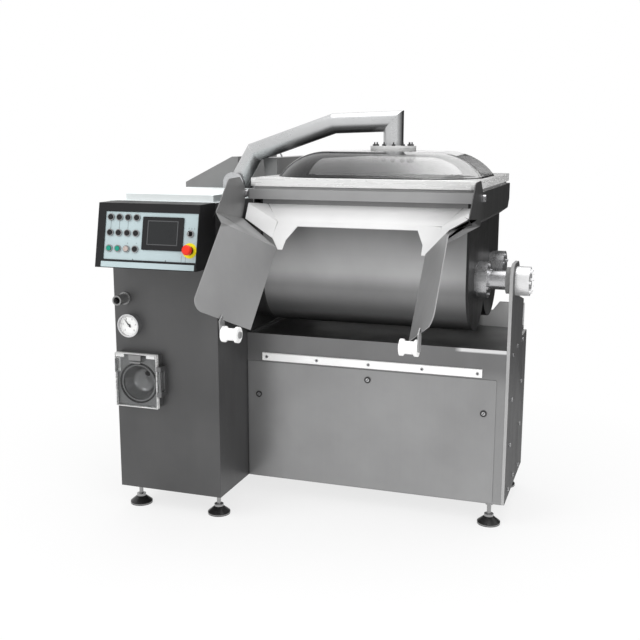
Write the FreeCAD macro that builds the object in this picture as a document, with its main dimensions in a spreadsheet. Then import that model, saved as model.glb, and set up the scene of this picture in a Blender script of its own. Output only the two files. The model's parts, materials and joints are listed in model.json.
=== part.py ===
import FreeCAD, Part
import Sketcher
import math
import os
import re

from FreeCAD import Placement, Rotation, Vector

# Vacuum meat mixer: a twin-shaft paddle mixer with a tilting W-trough, a domed lid on a
# swinging pipe arm and a control cabinet. Millimetres, degrees. X runs along the shafts,
# from the control cabinet (negative) to the bearing pillar; Y runs from the working side
# to the rear; Z is up with the floor at zero. The zero of X is the joint between cabinet
# and base, and the zero of Y the front of the base.

SIZES = {
    # base under the tank
    "base_length": 1144, "base_depth": 570, "base_bottom": 104, "base_top": 768,
    "base_sheet": 4, "tray_floor": 755, "tray_wall": 12, "tray_plate": 4,
    "splash_low": 832, "splash_high": 873, "splash_thick": 10, "splash_step_start": "base_length - 144",
    "splash_step_end": "splash_step_start + 30", "service_left": 30, "service_right": "base_length - 61",
    "service_bottom": 130, "service_top": 616, "tray_drain_x": 90, "tray_drain_y": 480,
    "tray_drain_radius": 22,
    # access panel and its quarter-turn locks
    "panel_left": 5, "panel_right": "base_length - 36", "panel_bottom": 110, "panel_top": 641,
    "panel_thick": 4, "lock_radius": 14, "lock_stem_radius": 8, "lock_hole_clearance": 0.3,
    "lock_head": 4, "lock_reach": 9, "cam_length": 44, "cam_width": 14, "cam_thick": 3,
    "lock_a_x": 56, "lock_a_z": 491, "lock_b_x": "(lock_a_x + lock_c_x) / 2 + 1.5", "lock_b_z": 598, "lock_c_x": "panel_right - 49",
    "lock_c_z": 497, "lock_slot": 3,
    # side plate with the bearing pillar
    "side_thick": 14, "pillar_top": 1120, "pillar_width": 205, "pillar_round": 60,
    "pillar_slope_low": 967, "pillar_slope_y": 234, "pillar_foot_y": 400,
    "pillar_foot_z": 751, "boss_radius": 55, "boss_length": 26, "bore_clearance": 0.05,
    "stay_thick": 6, "stay_tip_y": 440, "stay_tip_z": 915,
    "screw_head": 9, "screw_head_height": 5, "screw_socket": 4.5, "screw_socket_depth": 3,
    "screw_front_y": 90, "screw_rear_y": 415, "screw_middle_y": 235,
    "screw_row_one": 146, "screw_row_two": 343, "screw_row_three": 542,
    "screw_row_four": 733, "screw_middle_low": 160, "screw_middle_high": 740,
    # bumper strip
    "bumper_left": 76, "bumper_right": "base_length - 96", "bumper_bottom": 649, "bumper_top": 684,
    "bumper_thick": 12, "bumper_round": 4, "bumper_screw_first": "bumper_left + 22",
    "bumper_screw_pitch": "(bumper_right - bumper_left - 40) / 4", "bumper_screw_z": 667, "bumper_screw_radius": 7,
    "bumper_screw_height": 3,
    # levelling feet
    "foot_radius": 49, "foot_disc": 10, "foot_cone_radius": 20, "foot_cone_top": 34,
    "foot_neck_top": 44, "foot_stem_radius": 9, "foot_nut_radius": 16,
    "foot_nut_bottom": 86, "foot_nut_top": 98,
    "foot_cabinet_left": "52 - cabinet_width", "foot_cabinet_right": -47, "foot_cabinet_front": -228,
    "foot_cabinet_rear": 840, "foot_base_x": "base_length - 54", "foot_base_front": 45,
    "foot_base_rear": "base_depth - 45",
    # control cabinet
    "cabinet_width": 482, "cabinet_front": 308, "cabinet_rear": 900, "cabinet_top": 1361,
    "cabinet_sheet": 4, "roof_left": "cabinet_width - 70", "roof_right": 10, "roof_front": 300,
    "roof_rear": 230, "roof_rise": 29, "roof_round": 6,
    # control console
    "console_width": 450, "console_front": 444, "console_tilt": 11.9,
    "console_drop": 261, "console_sheet": 4, "console_left_frame": 35,
    "console_right_frame": 4, "console_top_frame": 34.8, "console_sill": 34.8,
    "console_face": 261.6, "panel_sheet": 3, "panel_lap": 8,
    "bezel_radius": 14.5, "bezel_height": 6, "bezel_neck": 12, "bezel_depth": 16,
    "button_radius": 10, "button_fit": 0.08, "button_rise": 3.4, "button_body": 24,
    "button_column_a": "59 - console_width", "button_column_b": "button_column_a + 39", "button_column_c": "button_column_b + 39",
    "button_column_d": "button_column_c + 39", "button_row_a": 57.3, "button_row_b": 119.6,
    "button_row_c": 183, "button_dish": 1,
    "screen_left": "205 - console_width", "screen_right": -65, "screen_top": 52, "screen_bottom": 184,
    "screen_proud": 5, "screen_frame_x": 27, "screen_frame_top": 18.5,
    "screen_frame_bottom": 24.5, "screen_recess": 1.5, "screen_body_inset": 10,
    "screen_depth": 42, "key_x": -34, "key_row": 114.5, "stop_x": "key_x", "stop_row": 180,
    "stop_collar_radius": 17, "stop_collar_height": 9, "stop_head_radius": 20,
    "stop_head_bottom": 16, "stop_head_top": 31, "stop_stem_radius": 8,
    "key_barrel_radius": 10, "key_bar_width": 5, "key_bar_reach": 14,
    # gauge, vacuum port and filter on the cabinet front
    "gauge_x": "83 - cabinet_width", "gauge_z": 836, "gauge_radius": 50, "gauge_depth": 37,
    "gauge_rim": 5, "gauge_well": 14, "needle_length": 34, "needle_tail": 12,
    "needle_width": 5, "needle_thick": 1.6, "needle_lift": 2, "needle_pin_radius": 3,
    "needle_hub_radius": 6,
    "port_x": "54 - cabinet_width", "port_z": 948, "port_radius": 21, "port_bore": 15, "port_length": 70,
    "port_collar_radius": 27, "port_collar": 8, "port_inside": 30, "port_wall_gap": 0.5,
    "filter_left": "22 - cabinet_width", "filter_right": "filter_left + 198", "filter_bottom": 487, "filter_top": 720,
    "filter_thick": 30, "filter_x": "filter_left + 103", "filter_z": 590, "bowl_radius": 75,
    "bowl_depth": 70, "bowl_wall": 5, "bowl_drain": 12.5, "bowl_drain_lift": 26,
    "ring_mid_radius": 85, "ring_half": 3.7, "ring_groove": 4, "ring_proud": 3,
    "ring_side_gap": 0.3, "door_gap": 0.3, "door_thick": 18, "door_hinge_x": "filter_right + 11",
    "door_hinge_drop": 11, "door_edge_gap": 6, "knuckle_radius": 9, "knuckle_low": 560,
    "knuckle_high": 650, "knuckle_gap": 0.4, "hinge_pin_radius": 4,
    "hinge_pin_fit": 0.05, "hinge_ear": 20, "hinge_ear_front": 8,
    "hinge_ear_back": 30, "hinge_ear_inner": 12, "hinge_ear_outer": 9,
    "door_pull_x": "filter_left + 20", "door_pull_low": 640, "door_pull_high": 700,
    "door_pull_depth": 22,
    # hoods on the cabinet roof
    "hood_front": 392, "hood_rear": "cabinet_rear", "hood_sheet": 4, "hood_left_x": "0 - cabinet_width",
    "hood_left_z": 1405, "hood_knee_x": -236, "hood_top": 1528, "hood_right_x": -204,
    "hood_b_left": -74, "hood_b_foot": -60, "hood_b_right": -4, "hood_b_top": 1525,
    "hose_radius": 4, "hose_left": -62, "hose_right": -12, "hose_peak": 1556,
    "hose_y": 470,
    # tank
    "shaft_y": 110, "shaft_z": 1042, "shaft_gap": 360, "trough_radius": 216,
    "trough_wall": 6, "tank_left": 115, "tank_right": "base_length - 148", "end_plate": 10,
    "rim_bottom": 1370, "rim_top": 1411, "rim_left": "tank_left - 37", "rim_right": "tank_right + 38",
    "rim_front": 160, "rim_rear": 740, "rim_sheet": 6, "rim_round": 12,
    "skirt_drop": 70, "skirt_tail": 99, "skirt_sheet": 5, "skirt_front": 100,
    "skirt_cut": 90,
    # front and rear shaft bearings on the right end of the tank
    "housing_ring_radius": 74, "housing_radius": 78, "housing_ring": 8,
    "housing_front_end": "tank_right + 49", "housing_rear_end": "tank_right + 64", "housing_round": 5,
    "housing_bolt_circle": 60, "housing_bolt_radius": 6, "housing_bolt_head": 6,
    "trunnion_radius": 40, "trunnion_end": "base_length + 46", "trunnion_bore": "tank_right + 72",
    "rear_bore_end": "tank_right + 46",
    # end cap on the side plate
    "cap_radius": 60, "cap_length": 56, "cap_hollow": 46, "cap_depth": 40,
    "cap_bolt_circle": 48, "cap_bolt_radius": 5, "cap_bolt_head": 8, "cap_round": 6,
    # gear case and left trunnion
    "case_radius": 205, "case_wall": 8, "case_left": 25, "case_cover": 10,
    "left_trunnion_radius": 55, "left_trunnion_bore": 40, "left_trunnion_end": -150,
    "left_bush": 30, "left_flange_radius": 90, "left_flange": 19, "left_bolt_circle": 74,
    "left_bolt_radius": 6, "left_bolt_head": 6, "wall_hole_gap": 3,
    # shafts and paddles
    "shaft_radius": 30, "journal_radius": 25, "journal_start": "tank_right + 6",
    "front_shaft_left": -280, "front_shaft_step": -155, "front_shaft_right": "tank_right + 66",
    "rear_shaft_left": 37, "rear_shaft_right": "tank_right + 41", "shaft_fit": 0.05,
    "paddle_first": "tank_left + 90", "paddle_pitch": "(tank_right - tank_left - 241) / 4", "paddle_reach": 203, "paddle_arm": 26,
    "paddle_arm_thick": 14, "blade_length": 96, "blade_width": 46, "blade_thick": 10,
    "blade_angle": 45, "paddle_hub": 40, "paddle_hub_width": 40, "paddle_step": 90,
    "gear_width": 40, "gear_start": 52, "gear_module": 10, "gear_teeth": 36,
    "gear_addendum": 8, "gear_dedendum": 11, "gear_play": 0.6,
    # drives inside the cabinet and pump inside the base
    "tilt_left": -104, "tilt_right": -4, "tilt_front": 0, "tilt_rear": 220,
    "tilt_bottom": 930, "tilt_top": 1160, "tilt_motor_radius": 62, "tilt_motor": 260,
    "lantern_radius": 80, "lantern_bore": 62, "gearbox_left": -300,
    "gearbox_right": -170, "gearbox_half": 95, "mix_motor_radius": 80,
    "mix_motor_left": "32 - cabinet_width", "motor_fins": 5,
    "pump_left": 350, "pump_right": 750, "pump_front": 150, "pump_rear": 400,
    "pump_foot": 30, "pump_height": 220, "pump_motor_radius": 85, "pump_inlet": 28,
    # discharge lip, cheeks and chute wings, given from the middle of the tank
    "middle_x": "(rim_left + rim_right) / 2", "lip_z": 1345, "lip_slope": 46, "lip_sheet": 4, "cheek_sheet": 3,
    "wing_sheet": 4, "wing_pivot_y": -148, "wing_pivot_z": 1392, "pivot_radius": 8,
    "pivot_fit": 0.05, "pivot_head": 14, "pivot_head_length": 11, "pivot_collar": 13,
    "hanger_offset": "(rim_right - rim_left) / 2 + 14", "hanger_gap": 0.5, "roller_offset": "hanger_offset - 155", "roller_y": -660,
    "roller_z": 905, "roller_radius": 30, "roller_waist": 23, "roller_length": 65,
    "roller_flange": 12, "roller_pin": 8, "roller_fit": 0.05, "roller_gap": 0.5,
    "roller_ear": 5, "roller_nut": 13, "roller_nut_length": 6, "wing_round": 40,
    # lid
    "seal_gap": 0.3, "seal_bottom_lift": 0.3, "lid_seal_top": 1422, "flange_top": 1455,
    "lid_left": "rim_left + 3", "lid_right": "rim_right - 3", "lid_front": 150, "lid_rear": 737,
    "lid_round": 30, "seal_inset": 10, "seal_width": 22,
    "dome_left": "lid_left + 31", "dome_right": "lid_right - 28", "dome_front": 80, "dome_rear": 660,
    "dome_arc": 263, "dome_angle": 53.6, "dome_wall": 10, "dome_corner": 28,
    "disc_radius": 100, "disc_thick": 21, "disc_round": 6, "dome_hole": 44,
    "inner_ring_thick": 14, "lid_bolt_circle": 82, "lid_bolt_radius": 5,
    "lid_bolt_gap": 0.3, "lid_bolt_head": 8.5, "lid_bolt_head_height": 7,
    "lid_bolts": 12, "arm_x": "middle_x + 17", "arm_y": 320, "arm_radius": 44.45, "arm_bore": 41,
    "arm_top_z": 1689, "arm_knee_x": "arm_x - 274", "arm_knee_z": 1680, "arm_elbow_x": -86,
    "arm_elbow_z": 1551, "pivot_x": -170, "pivot_z": 1412, "hub_radius": 42,
    "hub_half": 55, "hinge_pin": 15, "hinge_fit": 0.05, "clevis_gap": 0.4,
    "clevis_thick": 12.7, "clevis_half": 50, "clevis_base": 8, "clevis_round": 48,
    "pin_overhang": 6,
}

doc = FreeCAD.newDocument("vacuum_meat_mixer")
sheet = doc.addObject("Spreadsheet::Sheet", "Sizes")
for row, name in enumerate(SIZES, 1):
    sheet.set("A%d" % row, name)
    sheet.setAlias("B%d" % row, name)
for row, value in enumerate(SIZES.values(), 1):
    sheet.set("B%d" % row, "=" + value if isinstance(value, str) else str(value))
doc.recompute()

ORIGIN_PLANES = {"XY": "XY_Plane", "XZ": "XZ_Plane", "YZ": "YZ_Plane"}
nodes = []


def cells(text):
    """An expression with every size name pointing at its cell of the sheet."""
    return re.sub(r"\b([a-z][a-z0-9_]*)\b(?!\()", r"Sizes.\1", str(text))


def tie(item, prop, text):
    item.setExpression(prop, cells(text))


def val(text):
    """The present value of an expression of size names."""
    if isinstance(text, (int, float)):
        return float(text)
    return float(sheet.evalExpression(text))


def keep(label, item):
    item.Label = label
    nodes.append(item)
    return item


def new_body(label):
    item = doc.addObject("PartDesign::Body", "Body_" + label)
    return keep(label, item)


def new_sketch(owner, plane, at):
    """A sketch parallel to an origin plane of its body, at a signed distance along the axis."""
    item = owner.newObject("Sketcher::SketchObject", "Sketch")
    role = ORIGIN_PLANES[plane]
    base = [face for face in owner.Origin.OriginFeatures if face.Role == role][0]
    item.AttachmentSupport = [(base, "")]
    item.MapMode = "FlatFace"
    sign = "0 - " if plane == "XZ" else ""
    tie(item, "AttachmentOffset.Base.z", "%s(%s)" % (sign, at))
    return item


def pin_point(item, index, position, x, y):
    """Bind one point of the sketch to two expressions."""
    row = item.addConstraint(Sketcher.Constraint("DistanceX", -1, 1, index, position, val(x)))
    tie(item, "Constraints[%d]" % row, x)
    row = item.addConstraint(Sketcher.Constraint("DistanceY", -1, 1, index, position, val(y)))
    tie(item, "Constraints[%d]" % row, y)


def corner_arc(before, corner, after, radius):
    """Both tangent points and the centre of a rounded corner."""
    back = (before - corner).normalize()
    ahead = (after - corner).normalize()
    half = back.getAngle(ahead) / 2
    reach = radius / math.tan(half)
    centre = corner + (back + ahead).normalize() * (radius / math.sin(half))
    return corner + back * reach, corner + ahead * reach, centre


def outline(item, corners, closed=True):
    """Straight sides through the corners; a corner with a third value is rounded by it."""
    points = [Vector(val(corner[0]), val(corner[1]), 0) for corner in corners]
    count = len(points)
    ends = []
    for i in range(count):
        if len(corners[i]) > 2:
            after = points[(i + 1) % count]
            ends.append(corner_arc(points[i - 1], points[i], after, val(corners[i][2])))
        else:
            ends.append((points[i], points[i], None))
    sides = []
    for i in range(count if closed else count - 1):
        line = Part.LineSegment(ends[i][1], ends[(i + 1) % count][0])
        sides.append(item.addGeometry(line))
    for i in range(count):
        x, y = corners[i][0], corners[i][1]
        if not closed and i == count - 1:
            pin_point(item, sides[i - 1], 2, x, y)
            continue
        if ends[i][2] is None:
            if closed or i > 0:
                item.addConstraint(Sketcher.Constraint("Coincident", sides[i - 1], 2, sides[i], 1))
            pin_point(item, sides[i], 1, x, y)
            continue
        round_corner(item, sides[i - 1], sides[i], points[i], ends[i], corners[i])


def round_corner(item, side_in, side_out, corner, ends, values):
    enter, leave, centre = ends
    turn = (corner - enter).cross(leave - corner).z
    first, last = (enter, leave) if turn > 0 else (leave, enter)
    start = math.atan2(first.y - centre.y, first.x - centre.x)
    stop = math.atan2(last.y - centre.y, last.x - centre.x)
    if stop < start:
        stop += 2 * math.pi
    circle = Part.Circle(centre, Vector(0, 0, 1), val(values[2]))
    arc = item.addGeometry(Part.ArcOfCircle(circle, start, stop))
    mark = item.addGeometry(Part.Point(corner), True)
    pin_point(item, mark, 1, values[0], values[1])
    item.addConstraint(Sketcher.Constraint("PointOnObject", mark, 1, side_in))
    item.addConstraint(Sketcher.Constraint("PointOnObject", mark, 1, side_out))
    at_enter, at_leave = (1, 2) if turn > 0 else (2, 1)
    item.addConstraint(Sketcher.Constraint("Tangent", side_in, 2, arc, at_enter))
    item.addConstraint(Sketcher.Constraint("Tangent", side_out, 1, arc, at_leave))
    row = item.addConstraint(Sketcher.Constraint("Radius", arc, val(values[2])))
    tie(item, "Constraints[%d]" % row, values[2])


def circle(item, x, y, radius):
    start = Vector(val(x), val(y), 0)
    index = item.addGeometry(Part.Circle(start, Vector(0, 0, 1), val(radius)))
    pin_point(item, index, 3, x, y)
    row = item.addConstraint(Sketcher.Constraint("Radius", index, val(radius)))
    tie(item, "Constraints[%d]" % row, radius)


def draw(item, shapes):
    """Circles are given as (x, y, radius) and outlines as lists of corners."""
    for shape in shapes:
        if isinstance(shape, tuple):
            circle(item, *shape)
        else:
            outline(item, shape)


def pad(owner, plane, at, length, *shapes):
    """Material from the plane at a distance, towards the positive axis."""
    base = new_sketch(owner, plane, at)
    draw(base, shapes)
    item = owner.newObject("PartDesign::Pad", "Pad")
    item.Profile = base
    tie(item, "Length", length)
    item.Reversed = plane == "XZ"
    base.Visibility = False
    return item


def pocket(owner, plane, at, length, *shapes):
    """A recess from the plane at a distance, towards the positive axis."""
    base = new_sketch(owner, plane, at)
    draw(base, shapes)
    item = owner.newObject("PartDesign::Pocket", "Pocket")
    item.Profile = base
    tie(item, "Length", length)
    item.Reversed = plane != "XZ"
    base.Visibility = False
    return item


def turn(owner, kind, plane, at, corners, axis, place):
    """A revolution or groove round a line of the sketch, upright or level at a place."""
    base = new_sketch(owner, plane, at)
    x, y = (val(place), 0) if axis == "upright" else (0, val(place))
    far = Vector(x, 100, 0) if axis == "upright" else Vector(100, y, 0)
    line = base.addGeometry(Part.LineSegment(Vector(x, y, 0), far), True)
    if axis == "upright":
        pin_point(base, line, 1, place, "0")
        pin_point(base, line, 2, place, "100")
    else:
        pin_point(base, line, 1, "0", place)
        pin_point(base, line, 2, "100", place)
    outline(base, corners)
    item = owner.newObject("PartDesign::" + kind, kind)
    item.Profile = base
    item.ReferenceAxis = (base, ["Axis0"])
    item.Angle = 360
    base.Visibility = False
    return item


def rect(x0, y0, x1, y1, radius=None):
    corners = [(x0, y0), (x1, y0), (x1, y1), (x0, y1)]
    if radius is not None:
        corners = [corner + (radius,) for corner in corners]
    return corners


def block(x0, y0, z0, x1, y1, z1):
    item = doc.addObject("Part::Box", "Block")
    for prop, text in (("Placement.Base.x", x0), ("Placement.Base.y", y0),
                       ("Placement.Base.z", z0), ("Length", "(%s) - (%s)" % (x1, x0)),
                       ("Width", "(%s) - (%s)" % (y1, y0)),
                       ("Height", "(%s) - (%s)" % (z1, z0))):
        tie(item, prop, text)
    return item


def rod(axis, x, y, z, radius, length):
    """A cylinder from a point towards the positive X, Y or Z axis."""
    item = doc.addObject("Part::Cylinder", "Rod")
    turns = {"X": Rotation(Vector(0, 1, 0), 90), "Y": Rotation(Vector(1, 0, 0), -90),
             "Z": Rotation()}
    item.Placement = Placement(Vector(), turns[axis])
    for prop, text in (("Placement.Base.x", x), ("Placement.Base.y", y),
                       ("Placement.Base.z", z), ("Radius", radius), ("Height", length)):
        tie(item, prop, text)
    return item


def join(items):
    item = doc.addObject("Part::MultiFuse", "Join")
    item.Shapes = items
    return item


def cut(base, tool):
    item = doc.addObject("Part::Cut", "Cut")
    item.Base = base
    item.Tool = tool
    return item


def gather(items):
    item = doc.addObject("Part::Compound", "Group")
    item.Links = items
    return item


def solid_from(label, shape):
    item = doc.addObject("Part::Feature", "Shape_" + label)
    item.Shape = shape
    item.Placement = Placement()
    return keep(label, item)


def rounded_wire(points, radii):
    """A closed wire in space; a radius above zero rounds its corner."""
    edges = []
    ends = []
    count = len(points)
    for i in range(count):
        if radii.get(i):
            enter, leave, centre = corner_arc(points[i - 1], points[i],
                                              points[(i + 1) % count], radii[i])
            middle = centre + (points[i] - centre).normalize() * radii[i]
            edges.append(Part.Arc(enter, middle, leave).toShape())
            ends.append((enter, leave))
        else:
            ends.append((points[i], points[i]))
    for i in range(count):
        edges.append(Part.makeLine(ends[i][1], ends[(i + 1) % count][0]))
    return Part.Wire(Part.__sortEdges__(edges))


def plate(points, thickness, radii=None):
    """A flat plate whose middle plane holds the points."""
    normal = (points[1] - points[0]).cross(points[2] - points[0]).normalize()
    face = Part.Face(rounded_wire(points, radii or {}))
    face.translate(normal * (-thickness / 2))
    return face.extrude(normal * thickness)


def rod_shape(x0, x1, y, z, radius):
    left, right = min(x0, x1), max(x0, x1)
    return Part.makeCylinder(radius, right - left, Vector(left, y, z), Vector(1, 0, 0))


# --- base and frame ---

def base_cabinet():
    item = new_body("base_cabinet")
    pad(item, "XY", "base_bottom", "base_top - base_bottom",
        rect("0", "0", "base_length", "base_depth"))
    pocket(item, "XY", "base_bottom + base_sheet",
           "tray_floor - tray_plate - base_bottom - base_sheet",
           rect("base_sheet", "base_sheet", "base_length - base_sheet",
                "base_depth - base_sheet"))
    pocket(item, "XY", "tray_floor", "base_top - tray_floor + 1",
           rect("tray_wall", "tray_wall", "base_length - tray_wall",
                "base_depth - splash_thick", "6"))
    pocket(item, "XZ", "-1", "base_sheet + 2",
           rect("service_left", "service_bottom", "service_right", "service_top", "8"))
    pad(item, "XZ", "base_depth - splash_thick", "splash_thick",
        [("0", "tray_floor"), ("base_length", "tray_floor"),
         ("base_length", "splash_high"), ("splash_step_end", "splash_high"),
         ("splash_step_start", "splash_low"), ("0", "splash_low")])
    pocket(item, "XY", "tray_floor - tray_plate - 1", "tray_plate + 2",
           ("tray_drain_x", "tray_drain_y", "tray_drain_radius"))
    return item


LOCKS = [("lock_a_x", "lock_a_z"), ("lock_b_x", "lock_b_z"), ("lock_c_x", "lock_c_z")]


def access_panel():
    item = new_body("access_panel")
    pad(item, "XZ", "0 - panel_thick", "panel_thick",
        rect("panel_left", "panel_bottom", "panel_right", "panel_top", "6"))
    hole = "lock_stem_radius + lock_hole_clearance"
    pocket(item, "XZ", "0 - panel_thick - 1", "panel_thick + 2",
           *[(x, z, hole) for x, z in LOCKS])
    return item


def panel_locks():
    item = new_body("panel_locks")
    pad(item, "XZ", "0 - panel_thick - lock_head", "lock_head",
        *[(x, z, "lock_radius") for x, z in LOCKS])
    pad(item, "XZ", "0 - panel_thick", "panel_thick + lock_reach",
        *[(x, z, "lock_stem_radius") for x, z in LOCKS])
    half = "cam_width / 2"
    cams = [rect("lock_a_x - cam_length", "lock_a_z - " + half, "lock_a_x", "lock_a_z + " + half),
            rect("lock_b_x - " + half, "lock_b_z", "lock_b_x + " + half, "lock_b_z + cam_length"),
            rect("lock_c_x", "lock_c_z - " + half, "lock_c_x + cam_length", "lock_c_z + " + half)]
    pad(item, "XZ", "base_sheet + 1", "cam_thick", *cams)
    slots = [rect(x + " - lock_slot / 2", z + " - 8", x + " + lock_slot / 2", z + " + 8")
             for x, z in LOCKS]
    pocket(item, "XZ", "0 - panel_thick - lock_head - 1", "3", *slots)
    return item


def side_plate():
    item = new_body("side_plate")
    pad(item, "YZ", "base_length", "side_thick",
        [("0", "base_bottom"), ("base_depth", "base_bottom"),
         ("base_depth", "pillar_foot_z", "12"), ("pillar_foot_y", "pillar_foot_z", "40"),
         ("pillar_slope_y", "pillar_slope_low"), ("pillar_width", "shaft_z", "60"),
         ("pillar_width", "pillar_top", "pillar_round"), ("0", "pillar_top", "pillar_round")])
    pad(item, "YZ", "base_length - boss_length", "boss_length",
        ("shaft_y", "shaft_z", "boss_radius"))
    pad(item, "YZ", "base_length + 4", "stay_thick",
        [("pillar_slope_y - 8", "pillar_slope_low - 4"), ("stay_tip_y", "stay_tip_z", "6"),
         ("pillar_foot_y + 6", "pillar_foot_z - 4"), ("pillar_foot_y - 20", "pillar_foot_z - 4")])
    pocket(item, "YZ", "base_length - boss_length - 1", "boss_length + side_thick + 2",
           ("shaft_y", "shaft_z", "trunnion_radius + bore_clearance"))
    return item


def screw_places():
    rows = ["screw_row_one", "screw_row_two", "screw_row_three", "screw_row_four"]
    places = [(y, z) for y in ("screw_front_y", "screw_rear_y") for z in rows]
    return places + [("screw_middle_y", "screw_middle_low"), ("screw_middle_y", "screw_middle_high")]


def cover_screws():
    item = new_body("cover_screws")
    face = "base_length + side_thick"
    pad(item, "YZ", face, "screw_head_height",
        *[(y, z, "screw_head") for y, z in screw_places()])
    pocket(item, "YZ", face + " + screw_head_height - screw_socket_depth",
           "screw_socket_depth + 1", *[(y, z, "screw_socket") for y, z in screw_places()])
    places = ["bumper_screw_first + %d * bumper_screw_pitch" % i for i in range(5)]
    pad(item, "XZ", "0 - bumper_thick - bumper_screw_height", "bumper_screw_height",
        *[(x, "bumper_screw_z", "bumper_screw_radius") for x in places])
    return item


def bumper_strip():
    item = new_body("bumper_strip")
    pad(item, "YZ", "bumper_left", "bumper_right - bumper_left",
        [("0", "bumper_bottom"), ("0", "bumper_top"),
         ("0 - bumper_thick", "bumper_top", "bumper_round"),
         ("0 - bumper_thick", "bumper_bottom", "bumper_round")])
    return item


def levelling_feet():
    item = new_body("levelling_feet")
    cabinet = [(x, y) for x in ("foot_cabinet_left", "foot_cabinet_right")
               for y in ("foot_cabinet_front", "foot_cabinet_rear")]
    base = [("foot_base_x", "foot_base_front"), ("foot_base_x", "foot_base_rear")]
    for x, y in cabinet + base:
        profile = [("0", "0"), ("foot_radius", "0"), ("foot_radius", "foot_disc"),
                   ("foot_cone_radius", "foot_cone_top"), ("foot_cone_radius", "foot_neck_top"),
                   ("foot_stem_radius", "foot_neck_top"), ("foot_stem_radius", "foot_nut_bottom"),
                   ("foot_nut_radius", "foot_nut_bottom"), ("foot_nut_radius", "foot_nut_top"),
                   ("foot_stem_radius", "foot_nut_top"), ("foot_stem_radius", "base_bottom"),
                   ("0", "base_bottom")]
        turn(item, "Revolution", "XZ", y,
             [("%s + %s" % (x, r), z) for r, z in profile], "upright", x)
    return item


# --- control cabinet ---

def control_cabinet():
    item = new_body("control_cabinet")
    pad(item, "XY", "base_bottom", "cabinet_top - base_bottom",
        rect("0 - cabinet_width", "0 - cabinet_front", "0", "cabinet_rear", "3"))
    pad(item, "XY", "cabinet_top", "roof_rise",
        rect("0 - roof_left", "0 - roof_front", "0 - roof_right", "roof_rear", "roof_round"))
    pocket(item, "XY", "base_bottom + cabinet_sheet", "cabinet_top - base_bottom - 2 * cabinet_sheet",
           rect("cabinet_sheet - cabinet_width", "cabinet_sheet - cabinet_front",
                "0 - cabinet_sheet", "cabinet_rear - cabinet_sheet"))
    pocket(item, "XY", "cabinet_top - cabinet_sheet - 1", "roof_rise + 1",
           rect("cabinet_sheet - roof_left", "cabinet_sheet - roof_front",
                "0 - roof_right - cabinet_sheet", "roof_rear - cabinet_sheet"))
    pocket(item, "YZ", "0 - cabinet_sheet - 1", "cabinet_sheet + 2",
           ("shaft_y", "shaft_z", "left_trunnion_radius + wall_hole_gap"))
    pocket(item, "XZ", "0 - cabinet_front - 1", "cabinet_sheet + 2",
           ("port_x", "port_z", "port_radius + port_wall_gap"),
           ("filter_x", "filter_z", "bowl_radius + bowl_wall + 1"))
    return item


# The console parts are drawn with the face of the console as the plane y = 0 and the top
# of the face as z = 0, then laid back by the tilt.
CONSOLE = Placement(Vector(0, -SIZES["console_front"], SIZES["cabinet_top"]),
                    Rotation(Vector(1, 0, 0), -SIZES["console_tilt"]))


def on_console(item):
    item.Placement = CONSOLE
    tie(item, "Placement.Base.y", "0 - console_front")
    tie(item, "Placement.Base.z", "cabinet_top")
    return item


TILT_SIN = "sin(console_tilt)"
TILT_COS = "cos(console_tilt)"
CONSOLE_DEPTH = "(console_front - cabinet_front)"


def console_housing():
    item = new_body("console_housing")
    top = (CONSOLE_DEPTH + " * " + TILT_COS, CONSOLE_DEPTH + " * " + TILT_SIN)
    low = ("%s + console_drop * %s" % (top[0], TILT_SIN),
           "%s - console_drop * %s" % (top[1], TILT_COS))
    pad(item, "YZ", "0 - console_width", "console_width",
        [("0", "0"), top, low, ("0", "0 - console_face")])
    sheet_in = "console_sheet"
    pocket(item, "YZ", "%s - console_width" % sheet_in, "console_width - 2 * %s" % sheet_in,
           [(sheet_in, "0 - " + sheet_in),
            (top[0] + " - console_sheet", top[1] + " - console_sheet"),
            (low[0] + " - console_sheet", low[1] + " + console_sheet"),
            (sheet_in, sheet_in + " - console_face")])
    pocket(item, "XZ", "-1", "console_sheet + 2",
           rect("console_left_frame - console_width", "console_sill - console_face",
                "0 - console_right_frame", "0 - console_top_frame"))
    return on_console(item)


BUTTONS = []
for row_name in "abc":
    for column_name in "abcd":
        BUTTONS.append(("button_%s%s" % (row_name, column_name),
                        "button_column_" + column_name, "0 - button_row_" + row_name))

BEZEL_NECK = "button_radius + button_fit + 1"


def console_panel():
    item = new_body("console_panel")
    pad(item, "XZ", "console_sheet", "panel_sheet",
        rect("console_left_frame - console_width - panel_lap",
             "console_sill - console_face - panel_lap",
             "0 - console_right_frame - 0.3", "0 - console_top_frame + panel_lap"))
    holes = [(x, z, BEZEL_NECK + " + 0.3") for name, x, z in BUTTONS]
    holes.append(("key_x", "0 - key_row", BEZEL_NECK + " + 0.3"))
    holes.append(("stop_x", "0 - stop_row", BEZEL_NECK + " + 0.3"))
    holes.append(rect("screen_left + screen_body_inset - 1", "screen_body_inset - 1 - screen_bottom",
                      "screen_right - screen_body_inset + 1", "1 - screen_body_inset - screen_top"))
    pocket(item, "XZ", "console_sheet - 1", "panel_sheet + 2", *holes)
    return on_console(item)


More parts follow.
